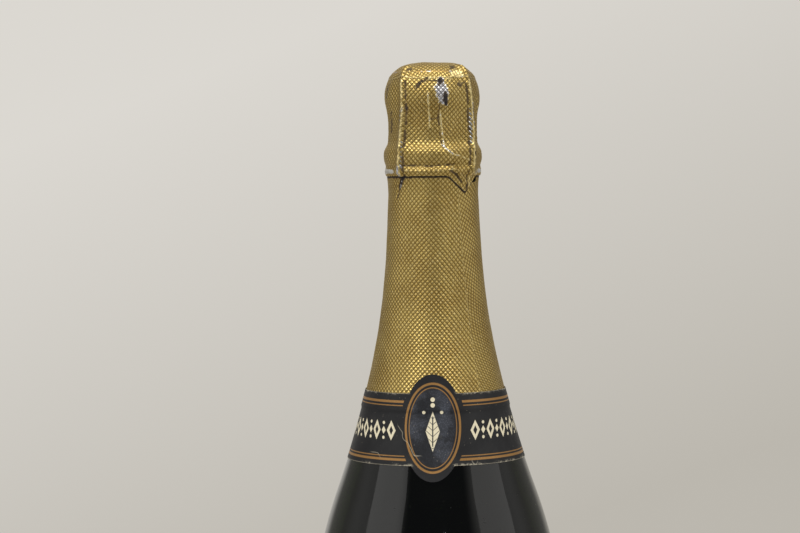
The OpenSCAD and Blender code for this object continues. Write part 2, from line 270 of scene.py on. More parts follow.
def swept(paths, diameter, closed=False, sides=2):
    """Round wires along paths of points."""
    curve = bpy.data.curves.new("wire", "CURVE")
    curve.dimensions = "3D"
    curve.bevel_depth, curve.bevel_resolution = diameter / 2, sides
    curve.use_fill_caps = True
    for path in paths:
        spline = curve.splines.new("POLY")
        spline.points.add(len(path) - 1)
        for point, p in zip(spline.points, path):
            point.co = (*p, 1)
        spline.use_cyclic_u = closed
    holder = bpy.data.objects.new("wire", curve)
    bpy.context.scene.collection.objects.link(holder)
    seen = holder.evaluated_get(bpy.context.evaluated_depsgraph_get())
    mesh = bpy.data.meshes.new_from_object(seen)
    bm = bmesh.new()
    bm.from_mesh(mesh)
    bpy.data.objects.remove(holder)
    bpy.data.curves.remove(curve)
    bpy.data.meshes.remove(mesh)
    bmesh.ops.remove_doubles(bm, verts=bm.verts, dist=1e-4)
    bmesh.ops.recalc_face_normals(bm, faces=bm.faces)
    return bm


def gathered(parts):
    """One mesh of several parts, whose faces keep their material numbers."""
    whole = bmesh.new()
    for part in parts:
        mesh = bpy.data.meshes.new("part")
        part.to_mesh(mesh)
        part.free()
        whole.from_mesh(mesh)
        bpy.data.meshes.remove(mesh)
    return whole


def place(bm, name, body, slot, *finishes, replaces=(), sharp=None):
    """Puts a piece in the scene, in metres, on its CAD body if that is given."""
    bmesh.ops.scale(bm, vec=(MM, MM, MM), verts=bm.verts)
    mesh = bpy.data.meshes.new(name)
    bm.to_mesh(mesh)
    bm.free()
    for finish in finishes:
        mesh.materials.append(finish)
    mesh.shade_smooth()
    if sharp:
        mesh.set_sharp_from_angle(angle=math.radians(sharp))
    piece = bpy.data.objects.new(name, mesh)
    bpy.context.scene.collection.objects.link(piece)
    if body:
        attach(piece, body)
    if replaces:
        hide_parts(*replaces)
    return piece


# ---- material helpers ----


class Flow:
    """A value that flows between shader nodes, with ordinary arithmetic."""

    def __init__(self, tree, socket):
        self.tree, self.socket = tree, socket

    def sum_of(self, operation, *others, clamp=False):
        node = self.tree.nodes.new("ShaderNodeMath")
        node.operation, node.use_clamp = operation, clamp
        for socket, value in zip(node.inputs, (self, *others)):
            if isinstance(value, Flow):
                self.tree.links.new(value.socket, socket)
            else:
                socket.default_value = value
        return Flow(self.tree, node.outputs[0])

    def __add__(self, other):
        return self.sum_of("ADD", other)

    def __sub__(self, other):
        return self.sum_of("SUBTRACT", other)

    def __mul__(self, other):
        return self.sum_of("MULTIPLY", other)

    def __truediv__(self, other):
        return self.sum_of("DIVIDE", other)

    def __pow__(self, other):
        return self.sum_of("POWER", other)

    __radd__, __rmul__ = __add__, __mul__

    def __rsub__(self, other):
        return (self * -1) + other

    def __abs__(self):
        return self.sum_of("ABSOLUTE")

    def least(self, other):
        return self.sum_of("MINIMUM", other)

    def most(self, other):
        return self.sum_of("MAXIMUM", other)

    def part(self):
        return self.sum_of("FRACT")

    def root(self):
        return self.sum_of("SQRT")

    def cut(self):
        return self.sum_of("ADD", 0.0, clamp=True)

    def rise(self, low, high, out=1.0):
        """Smooth step from 0 at low to out at high."""
        node = self.tree.nodes.new("ShaderNodeMapRange")
        node.interpolation_type = "SMOOTHSTEP"
        self.tree.links.new(self.socket, node.inputs["Value"])
        flip = low > high
        for key, value in zip(
            ("From Min", "From Max", "To Min", "To Max"),
            (high, low, out, 0) if flip else (low, high, 0, out),
        ):
            node.inputs[key].default_value = value
        return Flow(self.tree, node.outputs["Result"])


class Bench:
    """Short words for building one node tree."""

    def __init__(self, tree):
        self.tree = tree

    def node(self, kind, **links):
        node = self.tree.nodes.new("ShaderNode" + kind)
        for key, value in links.items():
            socket = node.inputs[key.replace("_", " ")]
            self.feed(socket, value)
        return node

    def feed(self, socket, value):
        if isinstance(value, Flow):
            value = value.socket
        if isinstance(value, bpy.types.NodeSocket):
            self.tree.links.new(value, socket)
        else:
            socket.default_value = value

    def flow(self, socket):
        return Flow(self.tree, socket)

    def place(self):
        return self.node("TexCoord").outputs["Object"]

    def axes(self, vector):
        node = self.node("SeparateXYZ", Vector=vector)
        return [self.flow(s) for s in node.outputs]

    def vector(self, x, y, z=0.0):
        return self.node("CombineXYZ", X=x, Y=y, Z=z).outputs[0]

    def sheet(self, name):
        node = self.node("UVMap")
        node.uv_map = name
        return self.axes(node.outputs[0])[:2]

    def painted(self, name):
        node = self.node("Attribute")
        node.attribute_name = name
        return self.flow(node.outputs["Fac"])

    def grain(self, scale, detail=3, rough=0.55, at=None, warp=0.0):
        node = self.node(
            "TexNoise", Vector=at or self.place(), Scale=scale, Detail=detail,
            Roughness=rough, Distortion=warp,
        )
        return self.flow(node.outputs["Fac"])

    def cells(self, scale, feature="F1", at=None, spread=1.0):
        node = self.node("TexVoronoi", Vector=at or self.place(), Scale=scale)
        node.feature = feature
        if feature != "DISTANCE_TO_EDGE":
            node.inputs["Randomness"].default_value = spread
        return node

    def mix(self, share, a, b, blend="MIX"):
        node = self.tree.nodes.new("ShaderNodeMix")
        node.data_type, node.blend_type = "RGBA", blend
        self.feed(node.inputs[0], share)
        self.feed(node.inputs[6], tuple(a) if not isinstance(a, bpy.types.NodeSocket) else a)
        self.feed(node.inputs[7], tuple(b) if not isinstance(b, bpy.types.NodeSocket) else b)
        return node.outputs[2]

    def bump(self, height, distance, strength=1.0, after=None):
        node = self.node("Bump", Height=height, Distance=distance * MM, Strength=strength)
        if after:
            self.feed(node.inputs["Normal"], after)
        return node.outputs[0]

    def use(self, group, **values):
        node = self.tree.nodes.new("ShaderNodeGroup")
        node.node_tree = group
        for key, value in values.items():
            self.feed(node.inputs[key.replace("_", " ")], value)
        return {s.name: self.flow(s) for s in node.outputs}


def group_of(name, inputs, outputs, build):
    """A shader group, made once; build returns one value for each output."""
    if name in bpy.data.node_groups:
        return bpy.data.node_groups[name]
    tree = bpy.data.node_groups.new(name, "ShaderNodeTree")
    for label, (kind, default) in inputs.items():
        socket = tree.interface.new_socket(label, in_out="INPUT", socket_type=kind)
        if default is not None:
            socket.default_value = default
    for label in outputs:
        tree.interface.new_socket(label, in_out="OUTPUT", socket_type="NodeSocketFloat")
    bench = Bench(tree)
    entry = tree.nodes.new("NodeGroupInput")
    leave = tree.nodes.new("NodeGroupOutput")
    values = build(bench, {s.name: s for s in entry.outputs})
    for socket, value in zip(leave.inputs, values):
        bench.feed(socket, value)
    return tree


def wear_group():
    """Rubbed flecks and a broad cloud, on any handled surface."""

    def build(b, given):
        place, size = given["Place"], given["Scale"]
        broad = b.grain(1.0, 4, 0.65, at=b.node("VectorMath").outputs[0])
        # the vector is scaled by the size before it is read
        scale = b.tree.nodes.new("ShaderNodeVectorMath")
        scale.operation = "SCALE"
        b.feed(scale.inputs[0], place)
        b.feed(scale.inputs["Scale"], size)
        for node in b.tree.nodes:
            if node.type == "TEX_NOISE":
                b.feed(node.inputs["Vector"], scale.outputs[0])
        flecks = b.cells(5.0, at=scale.outputs[0])
        spot = b.flow(flecks.outputs["Distance"]).rise(0.16, 0.05)
        few = b.flow(b.node("SeparateColor", Color=flecks.outputs["Color"]).outputs[0])
        mask = spot * few.rise(0.62, 0.72) * broad.rise(0.42, 0.62)
        return (mask * b.flow(given["Amount"])).cut(), broad

    group = group_of(
        "Handling wear",
        {
            "Place": ("NodeSocketVector", None),
            "Scale": ("NodeSocketFloat", 200.0),
            "Amount": ("NodeSocketFloat", 1.0),
        },
        ("Flecks", "Cloud"),
        build,
    )
    for node in [n for n in group.nodes if n.type == "VECT_MATH" and n.operation == "ADD"]:
        group.nodes.remove(node)
    return group


def emboss_group():
    """Diamond pyramids on a sheet whose lattice runs along U and V."""

    def build(b, given):
        u, v, _ = b.axes(given["Lattice"])
        cell = b.node("TexWhiteNoise", Vector=b.vector(*(w.sum_of("FLOOR") for w in (u, v))))
        edge = [0.5 - abs((w + 0.5).part() - 0.5) for w in (u, v)]
        near = edge[0].least(edge[1])
        width = b.flow(given["Groove width"])
        # mask of the grooves, where shade is painted
        groove = 1 - ((near - width * 0.35) / width).cut()
        height = (near * 2).least(0.86)
        # mask of the crests, which are painted paler: partly rubbed lacquer, partly painted highlight
        crest = near.rise(0.30, 0.46)
        return height, groove, crest, cell.outputs["Value"]

    return group_of(
        "Foil emboss",
        {"Lattice": ("NodeSocketVector", None), "Groove width": ("NodeSocketFloat", 0.11)},
        ("Height", "Groove", "Crest", "Cell"),
        build,
    )


def finish(name, **constants):
    """A new material: its node bench and its Principled shader."""
    material = bpy.data.materials.new(name)
    material.use_nodes = True
    shader = material.node_tree.nodes["Principled BSDF"]
    for key, value in constants.items():
        shader.inputs[key.replace("_", " ")].default_value = value
    return material, Bench(material.node_tree), shader


# ---- finishes ----


def foil_finish():
    if "embossed_foil" in bpy.data.materials:
        return bpy.data.materials["embossed_foil"]
    set_up = bpy.context.scene.bottle_foil
    material, b, shader = finish("embossed_foil")
    u, v = b.sheet("Sheet")
    lattice = b.vector(u, v)
    relief = b.use(emboss_group(), Lattice=lattice, Groove_width=0.11)
    rub = b.use(wear_group(), Place=b.place(), Scale=160.0, Amount=1.0)
    # the dirt attribute carries real dirt and painted shade; the wear attribute carries wear and painted highlight
    dirt, wear = b.painted("dirt"), b.painted("wear")
    cloud = b.grain(90, 4, 0.6)
    fine = b.grain(1400, 2, 0.6)
    gold = b.mix(cloud.rise(0.35, 0.7), set_up.gold, (0.44, 0.30, 0.085, 1))
    gold = b.mix(fine.rise(0.45, 0.75) * 0.35, gold, set_up.crest)
    # paler crests: partly rubbed lacquer, partly painted highlight
    gold = b.mix(relief["Crest"] * (0.35 + relief["Cell"] * 0.35), gold, set_up.crest)
    # painted shade down the grooves, on the lacquer and on bare metal
    gold = b.mix(relief["Groove"] * 0.88, gold, set_up.groove)
    bare = b.mix(relief["Groove"] * 0.85, set_up.bare, (0.05, 0.04, 0.06, 1))
    worn = (wear * (0.65 + fine * 0.4 + relief["Cell"] * 0.3) + rub["Flecks"] * 0.5).cut()
    # moderate wear turns the lacquer paler: rubbed lacquer, and also the painted highlight along bright creases and
    # the roll; strong wear shows bare metal
    tone = b.mix(worn.rise(0.12, 0.45, 0.8), gold, set_up.crest)
    tone = b.mix(worn.rise(0.5, 0.8), tone, bare)
    # darkening by the dirt attribute: real dirt, and painted shade in creases, beside the ridges and under the hood's
    # edge; brown at first, near black where strongest
    grit = relief["Cell"] * 0.7 + b.grain(700, 3) * 0.7
    soil_and_shade = (dirt * (0.45 + grit)).rise(0.35, 0.75, 0.94)
    tone = b.mix(soil_and_shade, tone, (0.085, 0.052, 0.02, 1))
    tone = b.mix((dirt * (0.6 + grit * 0.5)).rise(0.85, 1.15, 0.95), tone, (0.022, 0.017, 0.018, 1))
    b.feed(shader.inputs["Base Color"], tone)
    b.feed(shader.inputs["Metallic"], 0.92 - soil_and_shade * 0.7)
    b.feed(shader.inputs["Roughness"], 0.36 + cloud * 0.10 + soil_and_shade * 0.3 + relief["Groove"] * 0.12)
    first = b.bump(relief["Height"], 0.16, 0.9)
    b.feed(shader.inputs["Normal"], b.bump(fine, 0.012, 0.5, after=first))
    return material


def lining_finish():
    if "foil_lining" in bpy.data.materials:
        return bpy.data.materials["foil_lining"]
    set_up = bpy.context.scene.bottle_foil
    material, b, shader = finish("foil_lining")
    cloud = b.grain(220, 4, 0.6)
    tone = b.mix(cloud.rise(0.3, 0.75), set_up.lining, (0.42, 0.39, 0.33, 1))
    b.feed(shader.inputs["Base Color"], tone)
    b.feed(shader.inputs["Metallic"], 0.35 + cloud * 0.3)
    b.feed(shader.inputs["Roughness"], 0.45 + cloud * 0.2)
    b.feed(shader.inputs["Normal"], b.bump(b.grain(900, 3), 0.05, 0.6))
    return material


def glass_finish():
    set_up = bpy.context.scene.bottle_glass
    material, b, shader = finish("green_bottle_glass", Transmission_Weight=1.0, IOR=1.52)
    x, y, z = b.axes(b.place())
    rub = b.use(wear_group(), Place=b.place(), Scale=90.0, Amount=1.0)
    radius = (x * x + y * y).root()
    # faint mould seams at both sides, and a knurled ring that the bottle stands on
    seam = abs(y).rise(0.0006, 0.0) * z.rise(0.006, 0.012) * z.rise(0.270, 0.262)
    way = b.flow(b.node("Math").outputs[0])
    way.socket.node.operation = "ARCTAN2"
    b.feed(way.socket.node.inputs[0], y)
    b.feed(way.socket.node.inputs[1], x)
    knurl = abs((way * (90 / (2 * math.pi))).part() - 0.5).rise(0.32, 0.12)
    knurl = knurl * abs(radius - 0.0362).rise(0.0022, 0.0012) * z.rise(0.004, 0.001)
    ripple = b.grain(28, 2, 0.4)
    tone = b.mix(ripple.rise(0.3, 0.7), set_up.tint, (0.007, 0.010, 0.0035, 1))
    tone = b.mix(rub["Flecks"] * 0.5, tone, (0.30, 0.28, 0.22, 1))
    b.feed(shader.inputs["Base Color"], tone)
    b.feed(shader.inputs["Roughness"], 0.045 + rub["Cloud"].rise(0.5, 0.8, 0.06) + rub["Flecks"] * 0.3)
    first = b.bump(ripple, 0.5, 0.25)
    second = b.bump(seam, 0.08, 0.5, after=first)
    b.feed(shader.inputs["Normal"], b.bump(knurl, 0.35, 0.8, after=second))
    return material


def wine_finish():
    set_up = bpy.context.scene.bottle_glass
    material, b, shader = finish("pale_wine", Transmission_Weight=1.0, IOR=1.34)
    _, _, z = b.axes(b.place())
    depth = z.rise(0.21, 0.02)
    tone = b.mix(depth * (0.4 + b.grain(30, 2) * 0.5), set_up.wine, (0.72, 0.55, 0.20, 1))
    b.feed(shader.inputs["Base Color"], tone)
    b.feed(shader.inputs["Roughness"], 0.02 + b.grain(120, 2) * 0.02)
    fizz = b.cells(900)
    b.feed(shader.inputs["Normal"], b.bump(b.flow(fizz.outputs["Distance"]).rise(0.3, 0.0), 0.05, 0.15))
    return material


def oval_line(b, x, y, a, c, half):
    """Mask of a printed line round an oval of half axes a and c."""
    x2, y2 = x * x, y * y
    size = (x2 * (1 / a**2) + y2 * (1 / c**2)).root()
    slope = (x2 * (1 / a**4) + y2 * (1 / c**4)).root().most(1e-4)
    away = abs(size * (size - 1) / slope)
    return away.rise(half + 0.07, half - 0.07), size


def lozenge(x, y, w, h):
    """Distance measure that is 1 on the edge of a lozenge."""
    return abs(x) * (1 / w) + abs(y) * (1 / h)


def paper_base(name, x, y, gold_mask, cream_mask, edge, sheen):
    """A new material for a label, with its node bench and shader, and no print; edge, the distance from the rim, is
    not used.
    """
    set_up = bpy.context.scene.bottle_labels
    material, b, shader = finish(name)
    return material, b, shader


def printed(b, shader, gold_mask, cream_mask, edge, sheen):
    """Black ground, gold and cream print, pale fibres along the rim."""
    set_up = bpy.context.scene.bottle_labels
    rub = b.use(wear_group(), Place=b.place(), Scale=220.0, Amount=1.0)
    fibre = b.grain(900, 4, 0.7)
    cloud = b.grain(110, 3)
    ground = b.mix(cloud.rise(0.35, 0.7), set_up.ground, (0.017, 0.017, 0.018, 1))
    # painted bluish sheen, speckled, on the varnished middle
    speck = b.flow(b.cells(2600).outputs["Distance"]).rise(0.55, 0.1)
    ground = b.mix(
        sheen * (0.2 + cloud.rise(0.42, 0.62) * 0.8) * (0.3 + speck * 0.7),
        ground,
        (0.095, 0.105, 0.135, 1),
    )
    metal = gold_mask * (0.82 + fibre * 0.3)
    tone = b.mix(metal.cut(), ground, set_up.gold)
    tone = b.mix(cream_mask * (0.9 + fibre * 0.15), tone, set_up.cream)
    torn = edge.rise(0.9, 0.05) * fibre.rise(0.46, 0.62) * cloud.rise(0.42, 0.62)
    torn = torn + edge.rise(0.28, 0.08) * 0.45
    line = abs(b.grain(75, 2) - 0.5).rise(0.0065, 0.002) * b.grain(48, 2).rise(0.56, 0.62)
    chip = (torn + rub["Flecks"] * 0.8 + line * 0.8).cut()
    tone = b.mix(chip * 0.85, tone, set_up.fibre)
    b.feed(shader.inputs["Base Color"], tone)
    b.feed(shader.inputs["Metallic"], gold_mask * 0.35)
    b.feed(shader.inputs["Roughness"], 0.46 + fibre * 0.12 - gold_mask * 0.10 - sheen * 0.14 + chip * 0.3)
    relief = (gold_mask + cream_mask) * 0.35 + fibre * 0.35 + chip * 0.6
    b.feed(shader.inputs["Normal"], b.bump(relief, 0.05, 0.6))


def neck_print():
    """Lines round the neck, a row of lozenges and bars, and an oval at the front."""
    material, b, shader = finish("neck_label_print", Specular_IOR_Level=0.3)
    x, z = b.sheet("Print")
    y = z - 200.1
    thick, outer = oval_line(b, x, y, 9.0, 14.1, 0.36)
    thin, _ = oval_line(b, x, y, 7.85, 12.8, 0.15)
    outside = ((x * x) * (1 / 10.9**2) + (y * y) * (1 / 17.6**2)).rise(1.0, 1.03)
    rows = 0
    for level, half in ((208.3, 0.38), (207.05, 0.16), (191.0, 0.16), (189.9, 0.38)):
        rows = abs(z - level).rise(half + 0.07, half - 0.07) + rows
    gold_mask = (thick + thin + rows * outside).cut()
    # row of ornaments: a lozenge between two bars, again and again
    step = 6.2
    cell = ((abs(x) - 14.4) / step + 0.5).part() * step - step / 2
    rise = z - 199
    shape = lozenge(cell, rise, 1.75, 3.2)
    hollow = lozenge(cell, rise, 0.75, 1.5)
    loz = shape.rise(1.04, 0.96) * (1 - hollow.rise(1.08, 0.92))
    gap = abs(cell) - step / 2
    stack = lozenge(gap, rise, 0.85, 1.25).rise(1.06, 0.94)
    for level, size in ((2.35, 0.5), (-2.35, 0.5)):
        stack = stack + (gap * gap + (rise - level) * (rise - level)).root().rise(size + 0.08, size - 0.06)
    row = (loz + stack).cut() * abs(x).rise(12.2, 12.5)
    # the middle of the oval: a tall leaf between dots
    leaf_w = 2.3
    leaf = lozenge(x, y + 1.2, leaf_w, 6.4)
    vein = abs(x).rise(0.24, 0.14) * abs(y + 1.2).rise(5.0, 4.6)
    rib = abs(((abs(x) * 0.9 - y) * (1 / 1.9)).part() - 0.5).rise(0.10, 0.05) * leaf.rise(1.0, 0.9)
    mark = leaf.rise(1.03, 0.97) * (1 - vein) * (1 - rib * 0.9)
    for up in (7.2, 9.0):
        mark = mark + (x * x + (y - up) * (y - up)).root().rise(0.78, 0.66)
    for side in (-2.9, 2.9):
        mark = mark + ((x - side) * (x - side) + (y - 4.9) * (y - 4.9)).root().rise(0.6, 0.5)
    inside = outer.rise(0.9, 0.86)
    cream_mask = (row + mark * inside).cut()
    rim_low = (z - 188).most(0) + outside.rise(0.5, 0.0) * 4
    oval_rim = (1 - ((x * x) * (1 / 10.1**2) + (y * y) * (1 / 17.1**2)).root()) * 12
    rim = abs((z - 188).least(211 - z)).most(oval_rim.most(0))
    printed(b, shader, gold_mask, cream_mask, rim.least(30), inside)
    return material


def body_print(name, wide, high, middle):
    """Double gold frame with an oval and ornaments, on a body label."""
    material, b, shader = finish(name, Specular_IOR_Level=0.3)
    x, z = b.sheet("Print")
    y = z - middle
    gold_mask = 0
    for inset, half in ((3.2, 0.45), (4.6, 0.18)):
        box = (abs(x) - (wide / 2 - inset)).most(abs(y) - (high / 2 - inset))
        gold_mask = abs(box).rise(half + 0.08, half - 0.08) + gold_mask
    a, c = high * 0.20, high * 0.29
    lift = high * 0.08
    ring, size = oval_line(b, x, y - lift, a, c, 0.45)
    thin, _ = oval_line(b, x, y - lift, a - 1.6, c - 1.6, 0.18)
    side = abs(x) - (a + wide / 2 - 4.6) / 2
    bough = abs(y - lift).rise(0.32, 0.2) * abs(side).rise(wide * 0.12, wide * 0.12 - 0.6)
    gold_mask = (gold_mask + ring + thin + bough).cut()
    mark = lozenge(x, y - lift, a * 0.32, c * 0.55).rise(1.03, 0.97)
    mark = mark * (1 - lozenge(x, y - lift, a * 0.16, c * 0.3).rise(1.05, 0.95))
    mark = mark + lozenge(side, y - lift, 1.6, 2.6).rise(1.05, 0.95)
    # row of small lozenges under the oval
    step = 5.0
    cell = (x / step + 0.5).part() * step - step / 2
    low = y + high * 0.335
    row = lozenge(cell, low, 1.15, 1.8).rise(1.05, 0.95) * abs(x).rise(wide * 0.36, wide * 0.355)
    cream_mask = (mark + row).cut()
    edge = ((wide / 2) - abs(x)).least((high / 2) - abs(y))
    printed(b, shader, gold_mask, cream_mask, edge, size.rise(1.0, 0.94) * 0.6)
    return material


def agglomerate_finish():
    set_up = bpy.context.scene.bottle_cork
    material, b, shader = finish("agglomerate_cork")
    bend = b.grain(300, 2)
    place = b.node("VectorMath")
    place.operation = "MULTIPLY_ADD"
    b.feed(place.inputs[0], b.vector(bend, bend, bend))
    place.inputs[1].default_value = (0.0009,) * 3
    b.feed(place.inputs[2], b.place())
    grains = b.cells(1000 / (set_up.grain / MM), at=place.outputs[0])
    seams = b.cells(1000 / (set_up.grain / MM), "DISTANCE_TO_EDGE", at=place.outputs[0])
    shade = b.flow(b.node("SeparateColor", Color=grains.outputs["Color"]).outputs[0])
    joint = b.flow(seams.outputs["Distance"]).rise(0.09, 0.01)
    fine = b.grain(1600, 3)
    tone = b.mix(shade * 0.75 + fine * 0.25, set_up.light, (0.44, 0.245, 0.11, 1))
    tone = b.mix(shade.rise(0.86, 0.93) * 0.8, tone, set_up.dark)
    tone = b.mix(joint * 0.7, tone, (0.17, 0.08, 0.035, 1))
    b.feed(shader.inputs["Base Color"], tone)
    b.feed(shader.inputs["Roughness"], 0.72 + fine * 0.2)
    b.feed(shader.inputs["Normal"], b.bump(1 - joint + fine * 0.4 + shade * 0.3, 0.12, 0.8))
    return material


def natural_cork_finish():
    if "natural_cork" in bpy.data.materials:
        return bpy.data.materials["natural_cork"]
    set_up = bpy.context.scene.bottle_cork
    material, b, shader = finish("natural_cork")
    mapping = b.node("Mapping", Vector=b.place())
    mapping.inputs["Scale"].default_value = (1.0, 3.2, 1.0)
    long_grain = b.grain(420, 5, 0.65, at=mapping.outputs[0])
    pores = b.flow(b.cells(520, at=mapping.outputs[0]).outputs["Distance"]).rise(0.30, 0.12)
    pores = pores * b.grain(260, 2).rise(0.45, 0.6)
    tone = b.mix(long_grain.rise(0.3, 0.7), set_up.disc, (0.44, 0.25, 0.12, 1))
    tone = b.mix(pores * 0.85, tone, (0.16, 0.07, 0.03, 1))
    stain = b.axes(b.place())[2].rise(0.2785, 0.2762, 0.5)
    tone = b.mix(stain, tone, (0.40, 0.26, 0.13, 1))
    b.feed(shader.inputs["Base Color"], tone)
    b.feed(shader.inputs["Roughness"], 0.68 + long_grain * 0.2)
    b.feed(shader.inputs["Normal"], b.bump(long_grain * 0.5 + 1 - pores, 0.15, 0.7))
    return material


def wire_finish():
    if "zinc_wire" in bpy.data.materials:
        return bpy.data.materials["zinc_wire"]
    set_up = bpy.context.scene.bottle_cage
    material, b, shader = finish("zinc_wire", Metallic=1.0)
    dull, fine = b.grain(500, 4, 0.6), b.grain(3000, 2)
    tone = b.mix(dull.rise(0.35, 0.7), set_up.zinc, (0.30, 0.295, 0.285, 1))
    tone = b.mix(b.grain(160, 3).rise(0.6, 0.75, 0.5), tone, (0.27, 0.19, 0.12, 1))
    b.feed(shader.inputs["Base Color"], tone)
    b.feed(shader.inputs["Roughness"], 0.34 + dull * 0.2)
    b.feed(shader.inputs["Normal"], b.bump(fine, 0.02, 0.5))
    return material


def plaque_finish():
    set_up = bpy.context.scene.bottle_cage
    material, b, shader = finish("lacquered_plaque", Coat_Weight=0.3, Coat_Roughness=0.2)
    x, y, z = b.axes(b.place())
    radius = (x * x + y * y).root() * 1000
    rub = b.use(wear_group(), Place=b.place(), Scale=260.0, Amount=1.0)
    rings = abs(radius - 11.6).rise(0.3, 0.2) + abs(radius - 12.3).rise(0.16, 0.1)
    cloud = b.grain(240, 4)
    tone = b.mix(cloud.rise(0.3, 0.7), set_up.lacquer, (0.42, 0.25, 0.06, 1))
    tone = b.mix(rings.cut(), tone, (0.03, 0.03, 0.035, 1))
    worn = (rub["Flecks"] + abs(radius - 13.1).rise(0.35, 0.1) * cloud.rise(0.5, 0.6)).cut()
    tone = b.mix(worn * 0.8, tone, (0.62, 0.61, 0.60, 1))
    b.feed(shader.inputs["Base Color"], tone)
    b.feed(shader.inputs["Metallic"], 0.9 - rings.cut() * 0.6)
    b.feed(shader.inputs["Roughness"], 0.28 + cloud * 0.15)
    b.feed(shader.inputs["Normal"], b.bump(b.grain(1500, 2) + rings * 0.5, 0.02, 0.5))
    return material


# ---- foil shapes ----

# The embossed sheet is a slim cone laid flat. Along it, run is the distance
# down the foil's side line from the height of 304 mm.
SHEET_R = 201.0
# how far the lattice is turned from upright at the front
TURN = 2.6
# angle of the skirt's seam by height, and of the hood's
SKIRT_SEAM = ((205, -51), (217, -51.5), (239.6, -52.5), (272.6, -57.3), (283, -59))
HOOD_SEAM = 126


class SideLine:
    """A foil's side line, read by the distance run along it."""

    def __init__(self, points, known_z, known_run):
        self.line = rounded_line(points)
        run = [0.0]
        for a, b in zip(self.line, self.line[1:]):
            run.append(run[-1] + (b - a).length)
        zero = next(
            r0 + (r1 - r0) * (a.y - known_z) / (a.y - b.y)
            for a, b, r0, r1 in zip(self.line, self.line[1:], run, run[1:])
            if a.y >= known_z > b.y
        )
        self.run = [r - zero + known_run for r in run]
        ends = [self.line[0], *self.line, self.line[-1]]
        self.out = []
        for a, b in zip(ends, ends[2:]):
            along = (b - a).normalized()
            self.out.append(Vector((-along.y, along.x)))

    def at(self, run):
        i = min(max(bisect_right(self.run, run) - 1, 0), len(self.line) - 2)
        t = (run - self.run[i]) / (self.run[i + 1] - self.run[i])
        place = self.line[i].lerp(self.line[i + 1], t)
        return place, self.out[i].lerp(self.out[i + 1], min(1, max(0, t))).normalized()

    def run_at(self, z):
        for a, b, r0, r1 in zip(self.line, self.line[1:], self.run, self.run[1:]):
            if a.y >= z > b.y:
                return r0 + (r1 - r0) * (a.y - z) / (a.y - b.y)
        return self.run[-1]


HOOD = SideLine(
    (
        (0, 319.62), (3.6, 319.56), (7.2, 319.3), (9.9, 318.55), (12.0, 317.2),
        (13.75, 315.5), (15.0, 313.4), (15.7, 311.1), (15.95, 308.7), (15.8, 306.4),
        (15.3, 304.2), (14.92, 302.0), (14.8, 299.0), (14.8, 296.0), (14.84, 294.0),
        (15.05, 292.8), (15.6, 291.7), (16.2, 290.5), (16.42, 289.2), (16.38, 287.6),
        (16.08, 286.3), (15.78, 285.4), (16.12, 284.6), (16.42, 283.9), (16.38, 283.1),
        (15.95, 282.3), (15.65, 281.6), (15.52, 279.8), (15.42, 277.5), (15.37, 275.5),
    ),
    304,
    0,
)
TEAR_RUN = HOOD.run_at(TEAR_Z)
SKIRT = SideLine(
    [(15.45, 282.6), (15.36, 281.4), (15.2, 280.0), (15.1, 278.4)]
    + [(glass_radius(z) + 0.17, z) for z in range(276, FOIL_LOW - 1, -2)],
    TEAR_Z,
    TEAR_RUN,
)
LEG_LINE = rounded_line(
    (
        (10.4, LEG_TOP), (12.5, LEG_TOP), (13.5, 317.25), (14.05, 316.5), (14.35, 315.4),
        (14.85, 314.2), (15.3, 312.9), (15.5, 311.2), (15.79, 305.6), (16.17, 298), (16.55, 290.2), (16.8, 286),
        (16.84, 284.9), (16.7, 284.0), (16.3, 283.5),
    ),
    0.4,
)
# how far the ridge over a leg drifts to one side, by height
DRIFT = {
    1: ((283, -1.0), (295, 1.2), (305, -0.8), (316, 0.8)),
    2: ((283, 0.8), (297, -1.4), (308, 0.6), (316, -0.5)),
    3: ((283, -2.2), (290, -1.6), (304, 2.2), (316, -0.8)),
    4: ((283, 0.0), (290, 1.0), (298, 2.4), (305, 1.0), (316, -2.2)),
}
